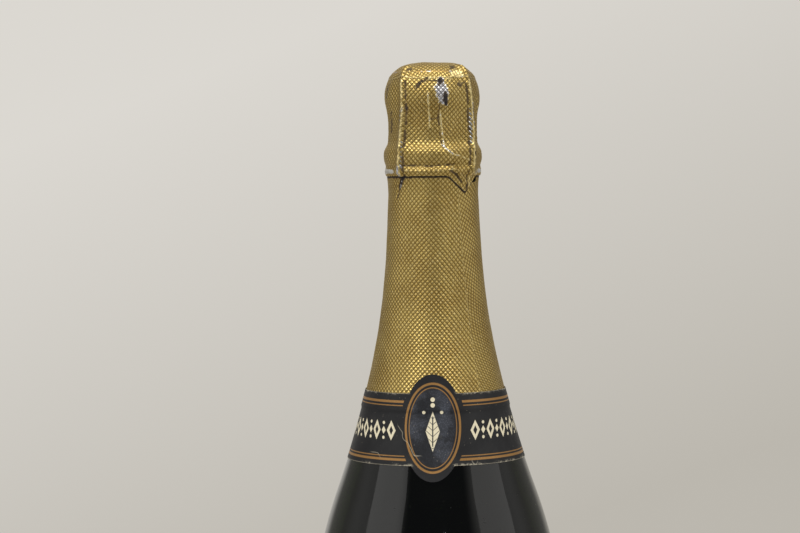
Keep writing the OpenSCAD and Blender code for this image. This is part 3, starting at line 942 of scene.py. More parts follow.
# creases of the hood: (angle from the front, height) points, then how far they stand out,
# half width, painted shade in the crease, and wear, partly painted highlight of bright lines
CREASES = (
    # creases A and B: lines painted paler as highlight through wear, with painted shade beside them
    (((-6.0, 309.7), (-5.0, 303.8), (-4.2, 297.9)), 0.36, 0.36, 0, 0.62),
    (((-2.6, 309.0), (-2.0, 303.8), (-1.6, 299.0)), -0.16, 0.5, 0.35, 0),
    (((9.1, 303.2), (10.8, 297.3), (13.3, 292.0)), 0.38, 0.36, 0, 0.7),
    (((8.5, 306.0), (6.8, 302.0), (8.4, 296.0), (11.2, 291.6)), -0.16, 0.45, 0.62, 0),
    (((10.3, 292.3), (14.9, 291.0), (22.8, 289.1)), 0.18, 0.30, 0, 1.3),
    (((22.8, 289.1), (33.6, 288.4), (46.2, 287.1)), 0.12, 0.26, 0, 0.62),
    # crease under the top's rim: a line painted paler as highlight, with painted shade just below it
    (((-4.5, 313.9), (9.1, 313.8), (24.1, 313.7)), 0.16, 0.30, 0, 0.5),
    (((-4.5, 313.3), (9.1, 313.2), (24.1, 313.1)), -0.14, 0.35, 0.6, 0),
    # the roll under the belt wire: its bright edges painted paler as highlight, with painted shade along the fold and
    # in the dip above it
    (((22.1, 284.7), (29.6, 283.5), (37.8, 281.2), (47.9, 278.9)), 0.45, 0.5, 0, 0.22),
    (((20.1, 283.6), (28.6, 282.3), (36.8, 279.9)), -0.16, 0.45, 0.9, 0),
    (((-41.0, 285.6), (-3.4, 285.3), (25.8, 285.7)), -0.1, 0.5, 0.62, 0),
    (((-41.0, 283.9), (-3.4, 283.8), (22.0, 284.0)), 0.06, 0.42, 0, 0.26),
    (((-30.0, 298.0), (-22.0, 293.5), (-17.0, 288.0)), 0.15, 0.7, 0, 0),
    (((30.0, 300.5), (24.0, 296.0), (21.0, 293.5)), 0.18, 0.6, 0, 0.1),
    (((-14.0, 303.5), (-4.0, 300.6), (6.0, 301.0)), -0.12, 0.5, 0.4, 0),
    (((120.0, 309.0), (112.0, 300.0), (110.0, 291.0)), 0.3, 0.5, 0.3, 0.4),
    (((165.0, 311.0), (170.0, 300.0), (162.0, 290.0)), 0.3, 0.5, 0, 0.45),
    (((165.0, 288.0), (180.0, 292.5), (200.0, 290.0)), 0.2, 0.32, 0, 1.1),
    (((240.0, 309.0), (244.0, 300.0), (238.0, 293.0)), -0.18, 0.5, 0.8, 0),
    (((70.0, 308.0), (78.0, 300.0), (80.0, 294.0)), 0.25, 0.5, 0, 0.3),
)
# patches of the hood: corners as (angle from the front, height), taken clockwise,
# then dirt and wear
PATCHES = (
    (((1.5, 310.8), (8, 314), (13, 314.2), (19.6, 309.5), (16.5, 305), (7, 306.2)), 0.38, 1.1),
    (((12.5, 307.6), (15.5, 309.0), (18.6, 307.6), (16.0, 305.0)), 1.4, 0),
    (((5.5, 311.9), (8.5, 314), (12.5, 313.9), (9.5, 311.6)), 0.9, 0.2),
    (((-23.0, 310.6), (-20.0, 312.6), (-14.0, 313.4), (-15.5, 311.2)), 0.95, 0.1),
    (((-16.0, 312.4), (-10.0, 314.6), (-4.0, 314.6), (-9.0, 312.8)), 0.8, 0.2),
    (((28, 317), (33, 318.3), (40, 317.9), (36, 316.9)), 1.0, 0.3),
    (((24, 315.2), (27, 316.6), (41, 316.2), (43, 314.3)), 0.25, 0.46),
    (((31, 312), (35, 313.6), (42, 312.6), (37, 310.9)), 0.8, 0.3),
    (((-38, 316), (-35, 317.3), (-30, 317), (-33, 315.8)), 0.8, 0.3),
    (((52, 306), (55, 306.5), (58, 296), (54, 295)), 0, 0.95),
    (((50, 289.4), (53, 290.2), (58, 289.2), (54, 288)), 1.2, 0),
    (((-47, 282.4), (-45.5, 285.2), (-41.5, 285.2), (-43, 282.2)), 0, 1.2),
    (((57, 282.4), (58, 284.2), (66, 283.9), (65, 282.2)), 0.5, 0.7),
    (((-76, 308), (-75, 312), (-68, 313), (-70, 308)), 0.8, 0.4),
    (((-70, 296), (-69, 303), (-63, 304), (-64, 297)), 0.6, 0.1),
    (((126, 300), (127, 308), (134, 307), (133, 300)), 0.4, 0.8),
    (((166, 308), (170, 311.5), (184, 311), (182, 307.6)), 0.6, 0.8),
    (((219, 295), (219, 305), (225, 304), (226, 296)), 0.2, 0.9),
    (((88, 315), (90, 317), (104, 316.8), (102, 314.8)), 0.8, 0.5),
)


def tent(away, r, ridge, b=1.1):
    """Radius of foil drawn tight from a wire of a ridge down to a round neck."""
    if ridge <= 0.02:
        return r
    c = r + ridge - b
    if c + b <= r:
        return r
    if abs((r - b) / c) >= 1:
        return r
    touch = math.acos((r - b) / c)
    d = math.radians(away)
    if d >= touch:
        return r
    if d < math.atan2(b * math.sin(touch), c + b * math.cos(touch)):
        out = c * math.cos(d) + math.sqrt(max(0, b * b - (c * math.sin(d)) ** 2))
    else:
        out = r / math.cos(touch - d)
    return r + ridge * ((out - r) / ridge) ** 2.0


def ridge_table():
    """How far the tube round a leg stands out of the hood's side line."""
    rows = []
    for i in range(-34, 31):
        place, out = HOOD.at(i)
        most = 0.0
        for p in LEG_LINE:
            gap = p - place
            aside = gap.cross(out)
            if abs(aside) < 1.15:
                most = max(most, gap.dot(out) + math.sqrt(1.15**2 - aside**2))
        rows.append([i, most])
    for _ in range(2):
        rows = [
            (s, (rows[max(k - 1, 0)][1] + 2 * v + rows[min(k + 1, len(rows) - 1)][1]) / 4)
            for k, (s, v) in enumerate(rows)
        ]
    return rows


RIDGE = ridge_table()


def off_line(x, z, points, scale):
    """Distance from a line of (angle, height) points, and how far along it."""
    best = (1e9, 0.0)
    for (a0, z0), (a1, z1) in zip(points, points[1:]):
        dx, dz = (a1 - a0) * scale, z1 - z0
        px, pz = (x - a0) * scale, z - z0
        t = min(1, max(0, (px * dx + pz * dz) / (dx * dx + dz * dz)))
        best = min(best, (math.hypot(px - t * dx, pz - t * dz), t))
    return best


def hood_marks(way, z):
    """Lift, dirt and painted shade, and wear and painted highlight of the hood at an angle and a height."""
    lift = dirt = wear = 0.0
    ahead = (way + 90) % 360
    ahead = ahead - 360 if ahead > 260 else ahead
    for points, high, half, soil_and_shade, rub in CREASES:
        if not (
            min(p[0] for p in points) - 8 < ahead < max(p[0] for p in points) + 8
            and min(p[1] for p in points) - 3 < z < max(p[1] for p in points) + 3
        ):
            continue
        away, _ = off_line(ahead, z, points, 0.28)
        wave = noise.noise(Vector((ahead * 0.3, z * 0.9, 3.0)))
        shape = math.exp(-((away / half) ** 2))
        lift += high * shape * (1 + 0.5 * wave)
        dirt += soil_and_shade * shape
        wear += rub * math.exp(-((away / (half * 0.8)) ** 2)) * (1 + wave)
    for corners, soil_and_shade, rub in PATCHES:
        depth = min(
            ((z0 - z) * (a1 - a0) + (ahead - a0) * (z1 - z0)) / math.hypot((a1 - a0), (z1 - z0) / 0.28)
            for (a0, z0), (a1, z1) in zip(corners, (*corners[1:], corners[0]))
        )
        if depth > -1:
            grit = noise.noise(Vector((ahead * 0.9, z * 2.2, corners[0][0])))
            shape = ease((depth + 0.35 + 0.8 * grit) / 0.6)
            dirt += soil_and_shade * shape
            wear += rub * shape
    # painted shade beside the ridges over the front legs, on the sides towards the front; wear along their crests
    for number, inward in ((3, 1), (4, -1)):
        side = arc_gap(way, LEGS[number] + table_at(DRIFT[number], z)) * inward * 0.28
        if -2 < side < 4.5 and z < 314.5:
            fade = ease((314.5 - z) / 2)
            line = math.exp(-(((side - 1.4) / 0.5) ** 2)) * fade
            wave = noise.noise(Vector((z * 0.35, number, 0)))
            lift -= 0.14 * line
            dirt += 0.8 * line * (0.9 + wave)
            wear += 0.5 * math.exp(-(((side - 0.1) / 0.5) ** 2)) * fade * (0.9 + wave)
    return lift, dirt, wear


def hood_at(way, run, marked=True):
    """Place and outward direction of the hood's foil, with its dirt and painted shade, and its wear and painted
    highlight.
    """
    place, out = HOOD.at(run)
    r, z = place
    lift = 0.0
    ridge = table_at(RIDGE, run)
    for number, leg in LEGS.items():
        away = abs(arc_gap(way, leg + table_at(DRIFT[number], z)))
        if away < 48:
            lift = max(lift, tent(away, max(r, 6), ridge) - max(r, 6))
    # flat swelling over the wire loop at the back
    aside = arc_gap(way, LOOP_WAY)
    if abs(aside) < 30 and z < 304.5:
        flat = 17.75 - 2.9 * ease((z - 299.6) / 4.6)
        over = flat / math.cos(math.radians(aside)) - r
        reach = abs(r * math.radians(aside))
        lift = max(lift, max(0, over) * ease((6.2 - reach) / 2.6))
    if not marked:
        return place + out * lift, out
    marks = hood_marks(way, z)
    spot = Vector((place.x * math.cos(math.radians(way)), place.x * math.sin(math.radians(way)), z))
    lift += marks[0]
    # the lower roll lies flat at the left and at the back
    lift -= 0.5 * math.exp(-(((z - 283.6) / 1.1) ** 2)) * ease((abs(arc_gap(way, -85)) - 52) / 14)
    lift += 0.16 * noise.noise(spot * 0.16) + 0.07 * noise.noise(spot * 0.45)
    place = place + out * lift
    return place, out, marks[1], marks[2]


def skirt_at(way, run, marked=True):
    """Place and outward direction of the skirt's foil, with its painted shade and its wear."""
    place, out = SKIRT.at(run)
    if not marked:
        return place, out
    z = place.y
    spot = on_ring(place.x, way, z)
    lift = 0.035 * noise.noise(spot * 0.12) + 0.02 * noise.noise(spot * 0.5)
    dirt = wear = 0.0
    ahead = arc_gap(way, -90)
    # pleat creases at the front left: raised folds, and painted shade down the creases
    for points, high, half, soil_and_shade in (
        (((-40.5, 282.0), (-43.5, 280.4), (-47.0, 278.4)), -0.06, 0.62, 1.2),
        (((-44.0, 280.4), (-48.0, 277.6), (-53.0, 274.6)), -0.06, 0.36, 1.0),
        (((-47.5, 281.4), (-52.0, 278.2), (-56.5, 275.0)), 0.34, 0.5, 0),
        (((-36.5, 280.6), (-42.0, 278.0), (-47.0, 275.0)), 0.16, 0.5, 0),
    ):
        away, _ = off_line(ahead, z, points, 0.27)
        shape = math.exp(-((away / half) ** 2))
        lift += high * shape
        dirt += soil_and_shade * shape
    # painted shadow right under the hood's edge
    under = hood_low(way) - z
    dirt += 1.15 * ease(1 - under / 0.9) + 0.4 * ease(1 - under / 2.4)
    wear += 0.5 * ease((z - 281.5) / 0.6) * max(0, noise.noise(Vector((way * 0.2, 7, 1))))
    return place + out * lift, out, dirt, wear


def hood_low(way):
    """Height of the hood's lower edge; a fold hangs down at the front right."""
    ahead = arc_gap(way, -90)
    ragged = 0.14 * noise.noise(Vector((way * 0.11, 2, 5)))
    fold = ((15, 282), (19, 281.7), (40, 277.1), (43, 276.8), (46, 277.3), (60, 281), (66, 282))
    if 15 < ahead < 66:
        return table_at(fold, ahead) + ragged
    return 282.0 + ragged


def skirt_high(way):
    """Height of the skirt's torn upper edge, with a hole at the front right."""
    ahead = arc_gap(way, -90)
    hole = ease((ahead - 49) / 4) * ease((70 - ahead) / 4)
    return 282.15 - 2.3 * hole + 0.12 * noise.noise(Vector((way * 0.15, 4, 2)))


def lattice_grid(left, right, low, high):
    """A flat grid whose points lie on the grooves and crests of the emboss."""
    set_up = bpy.context.scene.bottle_foil
    dx, dy = set_up.diamond_w / MM / 4, set_up.diamond_h / MM / 4
    columns, rows = 2 * math.ceil((right - left) / dx / 2), 2 * math.ceil((high - low) / dy / 2)
    x = round((left + right) / 2 / dx) * dx
    y = round((low + high) / 2 / dy) * dy
    bm = bmesh.new()
    bmesh.ops.create_grid(bm, x_segments=columns, y_segments=rows, size=1)
    bmesh.ops.scale(bm, vec=(columns * dx / 2, rows * dy / 2, 1), verts=bm.verts)
    bmesh.ops.translate(bm, vec=(x, y, 0), verts=bm.verts)
    return bm


def emboss(bm):
    """Splits faces along the grooves and keeps the lattice and the height."""
    set_up = bpy.context.scene.bottle_foil
    w, h = set_up.diamond_w / MM, set_up.diamond_h / MM
    heights = bm.verts.layers.float.new("crest")
    sheet = bm.loops.layers.uv.new("Sheet")
    grooves = []
    for v in bm.verts:
        a, c = v.co.x / w + v.co.y / h, v.co.x / w - v.co.y / h
        v[heights] = 2 * min(0.5 - abs(a - round(a)), 0.5 - abs(c - round(c)))
        if v[heights] < 1e-3:
            grooves.append(v)
    for face in bm.faces:
        for loop in face.loops:
            x, y, _ = loop.vert.co
            loop[sheet].uv = (x / w + y / h, x / w - y / h)
    bmesh.ops.connect_verts(bm, verts=grooves)
    return heights


def wrapped_sheet(at, low_run, high_run, base, seam, keep):
    """The embossed sheet rolled round the neck, true to size from the front line.

    base gives the radius of a run, seam the angle of the sheet's free edge at a run,
    and keep the run that a point is drawn to and whether it is cut off.
    """
    set_up = bpy.context.scene.bottle_foil
    depth = set_up.depth / MM
    near, far = SHEET_R + low_run, SHEET_R + high_run
    left = max(
        math.degrees((270 - seam(run) + 5) * math.pi / 180 * base(run) / (SHEET_R + run))
        for run in (low_run, (low_run + high_run) / 2, high_run)
    )
    right = max(
        math.degrees((seam(run) + 95) * math.pi / 180 * base(run) / (SHEET_R + run))
        for run in (low_run, (low_run + high_run) / 2, high_run)
    )
    bm = lattice_grid(
        far * math.sin(math.radians(TURN - left)) - 2,
        far * math.sin(math.radians(TURN + right)) + 2,
        near * math.cos(math.radians(max(left, right) + 2)) - 1,
        far + 1,
    )
    heights = emboss(bm)
    # attributes: dirt with painted shade, wear with painted highlight, and the sheet's angle and run
    dirt, wear, angle, length_down = (
        bm.verts.layers.float.new(name) for name in ("dirt", "wear", "angle", "run")
    )
    spare = []
    for v in bm.verts:
        run = math.hypot(v.co.x, v.co.y) - SHEET_R
        drawn = min(max(run, low_run), high_run)
        r = base(drawn)
        way = -90 + (math.degrees(math.atan2(v.co.x, v.co.y)) - TURN) * (SHEET_R + run) / r
        edge = seam(drawn)
        past = max(way - edge, edge - 361 - way)
        if abs(run - drawn) > 0.7 or past > math.degrees(0.4 / r):
            spare.append(v)
        else:
            v[angle], v[length_down] = min(max(way, edge - 361), edge), drawn
    bmesh.ops.delete(bm, geom=spare, context="VERTS")
    outside = []
    for v in bm.verts:
        way, run = v[angle], v[length_down]
        run, beyond = keep(way, run)
        if beyond:
            outside.append(v)
        place, out, v[dirt], v[wear] = at(way, run)
        free = ease((way - seam(run) + 4) / 3)
        v[wear] += 0.3 * ease((way - seam(run) + 1.2) / 1)
        pressed = 0.75 + 0.5 * noise.noise(on_ring(2.2, way, place.y * 0.12))
        place = place + out * (depth * v[heights] * pressed + 0.16 * free - depth / 2)
        v.co = on_ring(place.x, way, place.y)
    bmesh.ops.delete(bm, geom=outside, context="VERTS")
    bmesh.ops.recalc_face_normals(bm, faces=bm.faces)
    return bm


def lined(at, low_run, high_run, inset, rows, high_of=None):
    """Smooth inner wall of the foil, material number 1."""
    bm = bmesh.new()
    bmesh.ops.create_grid(bm, x_segments=144, y_segments=rows, size=1)
    for v in bm.verts:
        way = v.co.x * 180
        t = (v.co.y + 1) / 2
        low = high_of(way)[0] if high_of else low_run
        high = high_of(way)[1] if high_of else high_run
        place, out = at(way, low + (high - low) * t, marked=False)
        place = place - out * inset
        v.co = on_ring(max(place.x, 0), way, place.y)
    bmesh.ops.remove_doubles(bm, verts=bm.verts, dist=1e-3)
    for face in bm.faces:
        face.material_index = 1
    return bm


def top_disc(rim_z):
    """The hood's round top, whose edge lies over the rolled sheet."""
    set_up = bpy.context.scene.bottle_foil
    depth = set_up.depth / MM
    start, reach = HOOD.run[0], HOOD.run_at(rim_z) - HOOD.run[0]

    def rim(way):
        return reach + 0.25 * noise.noise(Vector((way * 0.06, 9, 9)))

    bm = lattice_grid(-reach - 1, reach + 1, -reach - 1, reach + 1)
    spare = [v for v in bm.verts if v.co.length > rim(math.degrees(math.atan2(v.co.y, v.co.x))) + 0.45]
    bmesh.ops.delete(bm, geom=spare, context="VERTS")
    heights = emboss(bm)
    # dirt with painted shade, and wear with painted highlight
    dirt = bm.verts.layers.float.new("dirt")
    wear = bm.verts.layers.float.new("wear")
    for v in bm.verts:
        way = math.degrees(math.atan2(v.co.y, v.co.x))
        q = min(v.co.length, rim(way))
        place, out, v[dirt], v[wear] = hood_at(way, start + q)
        edge = ease((q - rim(way) + 0.9) / 0.9)
        v[wear] += 0.35 * edge
        place = place + out * (depth * v[heights] * 0.6 * (1 - edge) + 0.14 * (1 - 0.6 * edge))
        v.co = on_ring(place.x, way, place.y)
    bmesh.ops.dissolve_degenerate(bm, dist=0.01, edges=bm.edges)
    return bm


# ---- label shapes ----


def paper_radius(z):
    return glass_radius(z) + 0.05 + 0.32 * ease((z - FOIL_LOW + 1.4) / 1)


def label_shell(outline, cuts_x, cuts_z, bend, paper):
    """Paper cut to an outline, bent round the glass and given its thickness."""
    bm = bmesh.new()
    bm.faces.new([bm.verts.new((x, z, 0)) for x, z in outline])
    for axis, levels in ((0, cuts_x), (1, cuts_z)):
        way = Vector((1 - axis, axis, 0))
        for level in levels:
            bmesh.ops.bisect_plane(
                bm,
                geom=bm.verts[:] + bm.edges[:] + bm.faces[:],
                dist=1e-5,
                plane_co=way * level,
                plane_no=way,
            )
    sheet = bm.loops.layers.uv.new("Print")
    spots = {}
    for v in bm.verts:
        spots[v] = bend(v.co.x, v.co.y)
    for face in bm.faces:
        for loop in face.loops:
            loop[sheet].uv = spots[loop.vert][1]
    for v, (place, _) in spots.items():
        v.co = place
    bmesh.ops.recalc_face_normals(bm, faces=bm.faces)
    middle = sum((v.co for v in bm.verts), Vector()) / len(bm.verts)
    face = max(bm.faces, key=lambda f: f.calc_area())
    if face.normal.dot(Vector((face.calc_center_median().x, face.calc_center_median().y, 0))) < 0:
        bmesh.ops.reverse_faces(bm, faces=bm.faces)
    bmesh.ops.solidify(bm, geom=bm.faces[:], thickness=-paper)
    return bm


# ---- operators ----


class BOTTLE_OT_stage(bpy.types.Operator):
    """Pale floor and wall, soft lamps and the camera"""

    bl_idname = "bottle.stage"
    bl_label = "Stage"

    def execute(self, context):
        set_up = context.scene.bottle_stage
        scene = context.scene
        scene.view_settings.view_transform = "Standard"

        bm = bmesh.new()
        bmesh.ops.create_circle(bm, cap_ends=True, segments=96, radius=1.0)
        bmesh.ops.translate(bm, vec=(0, 0, -0.0004), verts=bm.verts)
        mesh = bpy.data.meshes.new("floor")
        bm.to_mesh(mesh)
        bm.free()
        floor = bpy.data.objects.new("floor", mesh)
        scene.collection.objects.link(floor)
        material, b, shader = finish("pale_floor", Roughness=0.7)
        x, y, _ = b.axes(b.place())
        cloud = b.grain(3, 3)
        b.feed(shader.inputs["Base Color"], b.mix(cloud * 0.12, set_up.floor, (0.5, 0.49, 0.46, 1)))
        # the floor thins out with distance, so that no horizon shows
        clear = b.tree.nodes.new("ShaderNodeBsdfTransparent")
        join = b.tree.nodes.new("ShaderNodeMixShader")
        b.feed(join.inputs[0], (x * x + y * y).root().rise(0.25, 0.95))
        b.feed(join.inputs[1], shader.outputs[0])
        b.feed(join.inputs[2], clear.outputs[0])
        b.feed(b.tree.nodes["Material Output"].inputs["Surface"], join.outputs[0])
        mesh.materials.append(material)
        floor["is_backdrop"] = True

        world = bpy.data.worlds.new("soft_room")
        scene.world = world
        world.use_nodes = True
        b = Bench(world.node_tree)
        for node in list(world.node_tree.nodes):
            world.node_tree.nodes.remove(node)
        way = b.node("TexCoord").outputs["Generated"]
        x, y, z = b.axes(way)
        # painted shading of the wall seen by the camera: lighter towards the top and the left, darker towards the
        # bottom and the right
        wall = b.mix((0.30 - z * 4.2 + x * 1.6).cut(), set_up.backdrop, (0.50, 0.475, 0.425, 1))
        # the room is dim before the bottle, bright at its sides and dim again behind them
        round_way = (y * -1) / (x * x + y * y).root().most(0.02)
        dim = round_way.rise(0.66, 0.84) * z.rise(0.75, 0.5)
        room = b.mix(round_way.rise(-0.1, -0.5), (0.52, 0.515, 0.50, 1), (0.26, 0.25, 0.235, 1))
        room = b.mix(dim, room, (0.085, 0.09, 0.095, 1))
        over = b.mix(y.rise(0.2, -0.4), (0.7, 0.69, 0.67, 1), (2.1, 2.08, 2.02, 1))
        room = b.mix(z.rise(0.6, 0.85), room, over)
        path = b.node("LightPath")
        seen = b.flow(path.outputs["Is Camera Ray"]) + b.flow(path.outputs["Is Transmission Ray"])
        behind = round_way.rise(-0.80, -0.92) * z.rise(0.75, 0.5)
        seen = seen.most(behind * b.flow(path.outputs["Is Glossy Ray"])).least(1)
        tone = b.mix(seen, room, wall)
        back = b.node("Background", Color=tone, Strength=1.0)
        leave = b.tree.nodes.new("ShaderNodeOutputWorld")
        b.feed(leave.inputs["Surface"], back.outputs[0])

        for name, place, size, power, tint in (
            ("lamp_left", (-1.5, -0.85, 0.75), 1.3, 3.6, (1, 0.99, 0.97)),
            ("lamp_right", (1.6, -0.65, 0.6), 1.3, 2.9, (1, 0.985, 0.96)),
            ("lamp_top", (-0.08, -0.745, 1.315), 0.45, 5.6, (1, 0.985, 0.96)),
            ("lamp_small", (0.11, -0.962, 0.53), 0.016, 0.16, (0.86, 0.93, 1)),
        ):
            light = bpy.data.lights.new(name, "AREA")
            light.shape, light.size = "SQUARE", size
            light.energy, light.color = power * set_up.strength, tint
            lamp = bpy.data.objects.new(name, light)
            scene.collection.objects.link(lamp)
            lamp.visible_camera = False
            lamp.location = place
            aim = Vector((0, 0, 0.22)) - lamp.location
            lamp.rotation_euler = aim.to_track_quat("-Z", "Y").to_euler()

        camera = bpy.data.objects.new("camera", bpy.data.cameras.new("camera"))
        scene.collection.objects.link(camera)
        camera.data.lens, camera.data.sensor_width = set_up.lens, 36
        camera.data.clip_start = 0.01
        camera.matrix_world = (
            Matrix.Translation((-0.0114, -0.82, 0.283))
            @ Matrix.Rotation(math.radians(90 - 2.18), 4, "X")
            @ Matrix.Rotation(math.radians(-0.67), 4, "Z")
        )
        scene.camera = camera
        return {"FINISHED"}


class BOTTLE_OT_glass(bpy.types.Operator):
    """Thick green glass with a hollow base, a ring and a lip"""

    bl_idname = "bottle.glass"
    bl_label = "Glass"

    def execute(self, context):
        wall = context.scene.bottle_glass.wall / MM
        inner = BODY_R - wall

        def inside(z):
            share = ease((z - 178) / (272 - 178))
            return glass_radius(z) - wall + share * (9 - glass_radius(272) + wall)

        out = [(32.5 * t, 17.5 * (1 + math.cos(math.pi * t))) for t in (i / 30 for i in range(31))]
        out += [
            (BODY_R - 8 * (1 - math.sin(t)), 8 * (1 - math.cos(t)))
            for t in (math.pi / 2 * i / 14 for i in range(15))
        ]
        out += [(BODY_R, z) for z in range(16, SHOULDER_Z, 8)]
        out += [(glass_radius(z), z) for z in (SHOULDER_Z + 2.05 * i for i in range(86))]
        out += rounded_line(
            (
                (14.45, 284.45), (14.7, 284.6), (15.1, 284.85), (15.42, 285.5), (15.62, 286.5), (15.7, 287.6),
                (15.7, 288.8), (15.62, 290.3), (15.2, 290.95), (14.2, 291.25), (13.35, 291.75),
                (13.25, 292.6), (13.3, 293.7), (13.9, 294.35), (14.25, 294.9), (14.3, 296.4),
                (14.28, 298.4), (13.95, 299.5), (13.1, 300), (10.2, 300), (9.2, 299.7), (9, 299),
            ),
            0.35,
        )
        out += [(9, z) for z in range(298, 270, -3)]
        out += [(inside(z), z) for z in range(268, SHOULDER_Z, -4)]
        out += [(inner, z) for z in range(SHOULDER_Z, 26, -8)]
        out += [
            (29 + (inner - 29) * math.sin(t), 10.5 + 16 * (1 - math.cos(t)))
            for t in (math.pi / 2 * i / 12 for i in range(12, 0, -1))
        ]
        out += [
            (29 * t, 10.5 + 35.5 * (1 + math.cos(math.pi * t)) / 2)
            for t in (i / 24 for i in range(24, -1, -1))
        ]
        place(
            turned(out, 144), "glass", "bottle", "green_glass", glass_finish(),
            replaces=["bottle_glass"], sharp=50,
        )
        return {"FINISHED"}


class BOTTLE_OT_wine(bpy.types.Operator):
    """The wine, with its surface drawn up at the glass"""

    bl_idname = "bottle.wine"
    bl_label = "Wine"

    def execute(self, context):
        wall = context.scene.bottle_glass.wall / MM + 0.1
        inner = BODY_R - wall
        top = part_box("wine")[1].z / MM

        def inside(z):
            share = ease((z - 178) / (272 - 178))
            return glass_radius(z) - wall + share * (9 - glass_radius(272) + wall - 0.1)

        out = [
            (29 * t, 10.6 + 35.5 * (1 + math.cos(math.pi * t)) / 2)
            for t in (i / 24 for i in range(25))
        ]
        out += [
            (29 + (inner - 29) * math.sin(t), 10.6 + 16 * (1 - math.cos(t)))
            for t in (math.pi / 2 * i / 12 for i in range(1, 13))
        ]
        out += [(inner, z) for z in range(34, SHOULDER_Z, 8)]
        out += [(inside(z), z) for z in range(SHOULDER_Z, int(top) - 1, 4)]
        edge = inside(top)
        out += [(edge, top), (edge - 0.6, top - 0.55), (edge - 1.6, top - 1.0), (edge - 3.2, top - 1.25), (0, top - 1.3)]
        place(
            turned(out, 96), "wine_fill", "bottle", "wine", wine_finish(),
            replaces=["wine"], sharp=50,
        )
        return {"FINISHED"}


class BOTTLE_OT_foil_skirt(bpy.types.Operator):
    """Embossed foil on the neck, below the tear line"""

    bl_idname = "bottle.foil_skirt"
    bl_label = "Foil skirt"

    def execute(self, context):
        def keep(way, run):
            least = SKIRT.run_at(skirt_high(way))
            return max(run, least), run < least - 0.6

        end = SKIRT.run_at(FOIL_LOW + 0.02)
        sheet = wrapped_sheet(
            skirt_at, TEAR_RUN - 0.2, end,
            lambda run: SKIRT.at(run)[0].x,
            lambda run: table_at(SKIRT_SEAM, SKIRT.at(run)[0].y),
            keep,
        )
        wall = lined(
            skirt_at, 0, 0, 0.14, 40,
            high_of=lambda way: (SKIRT.run_at(skirt_high(way)), end),
        )
        place(
            gathered([sheet, wall]), "foil_skirt_skin", "bottle", "foil",
            foil_finish(), lining_finish(), replaces=["foil_skirt"],
        )
        return {"FINISHED"}


class BOTTLE_OT_foil_hood(bpy.types.Operator):
    """Embossed foil over the cork and its cage"""

    bl_idname = "bottle.foil_hood"
    bl_label = "Foil hood"

    def execute(self, context):
        def keep(way, run):
            most = HOOD.run_at(hood_low(way))
            return min(run, most), run > most + 0.6

        start = HOOD.run_at(315.6)
        sheet = wrapped_sheet(
            hood_at, start, HOOD.run[-1], lambda run: HOOD.at(run)[0].x, lambda run: HOOD_SEAM, keep
        )
        wall = lined(
            hood_at, 0, 0, 0.3, 90,
            high_of=lambda way: (HOOD.run[0], HOOD.run_at(hood_low(way))),
        )
        place(
            gathered([sheet, top_disc(314.2), wall]), "foil_hood_skin", "foil", "foil",
            foil_finish(), lining_finish(), replaces=["foil_hood"],
        )
        return {"FINISHED"}


class BOTTLE_OT_neck_label(bpy.types.Operator):
    """Collar label with an oval at the front"""

    bl_idname = "bottle.neck_label"
    bl_label = "Neck label"

    def execute(self, context):
        paper = context.scene.bottle_labels.paper / MM
        low, high, middle = 188, 211, 200.1
        half_w, half_h = 10.1, 17.1
        side = 180 - math.degrees(0.6 / glass_radius(200))

        def angle(x, z):
            return math.degrees(x / paper_radius(z))

        def oval(t):
            x, z = half_w * math.cos(t), middle + half_h * math.sin(t)
            return (angle(x, z), z)

        def crossing(z):
            return math.asin((z - middle) / half_h)

        upper, lower = crossing(high), crossing(low)
        outline = [(-side, low)]
        span = -math.pi - 2 * lower
        outline += [oval(math.pi - lower - span * 0 + (lower * 2 + math.pi) * i / 24) for i in range(25)]
        outline += [(side, low), (side, high)]
        outline += [oval(upper + (math.pi - 2 * upper) * i / 24) for i in range(25)]
        outline += [(-side, high)]

        def bend(x, z):
            r = paper_radius(z)
            return on_ring(r, x - 93, z), (math.radians(x) * r, z)

        shell = label_shell(
            outline,
            [-side + 2 * side * i / 90 for i in range(1, 90)],
            [183.5 + 1.5 * i for i in range(14)] + [204 + 0.5 * i for i in range(7)] + [208.5 + 1.5 * i for i in range(6)],
            bend,
            paper,
        )
        place(
            shell, "neck_label_paper", "bottle", "label_paper", neck_print(),
            replaces=["neck_label"], sharp=50,
        )
        return {"FINISHED"}


class BOTTLE_OT_body_labels(bpy.types.Operator):
    """Front and back labels on the straight body"""

    bl_idname = "bottle.body_labels"
    bl_label = "Body labels"

    def execute(self, context):
        paper = context.scene.bottle_labels.paper / MM
        r = BODY_R + 0.05
        for node, way, wide, low, high in (
            ("front_label", -90, 100, 24, 98),
            ("back_label", 90, 66, 35, 87),
        ):
            round_off = 1.5

            def corner(x, z, start):
                return [
                    (
                        x + round_off * math.cos(math.radians(start + 22.5 * i)),
                        z + round_off * math.sin(math.radians(start + 22.5 * i)),
                    )
                    for i in range(5)
                ]

            w = wide / 2 - round_off
            outline = (
                corner(w, high - round_off, 0)
                + corner(-w, high - round_off, 90)
                + corner(-w, low + round_off, 180)
                + corner(w, low + round_off, 270)
            )

            def bend(x, z):
                return on_ring(r, way + math.degrees(x / r), z), (x, z)

            shell = label_shell(
                outline,
                [-wide / 2 + 2 * i for i in range(1, wide // 2)],
                [low + 6 * i for i in range(1, (high - low) // 6 + 1)],
                bend,
                paper,
            )
            place(
                shell, node + "_paper", "bottle", "label_paper",
                body_print(node + "_print", wide, high - low, (high + low) / 2),
                replaces=[node], sharp=50,
            )
        return {"FINISHED"}


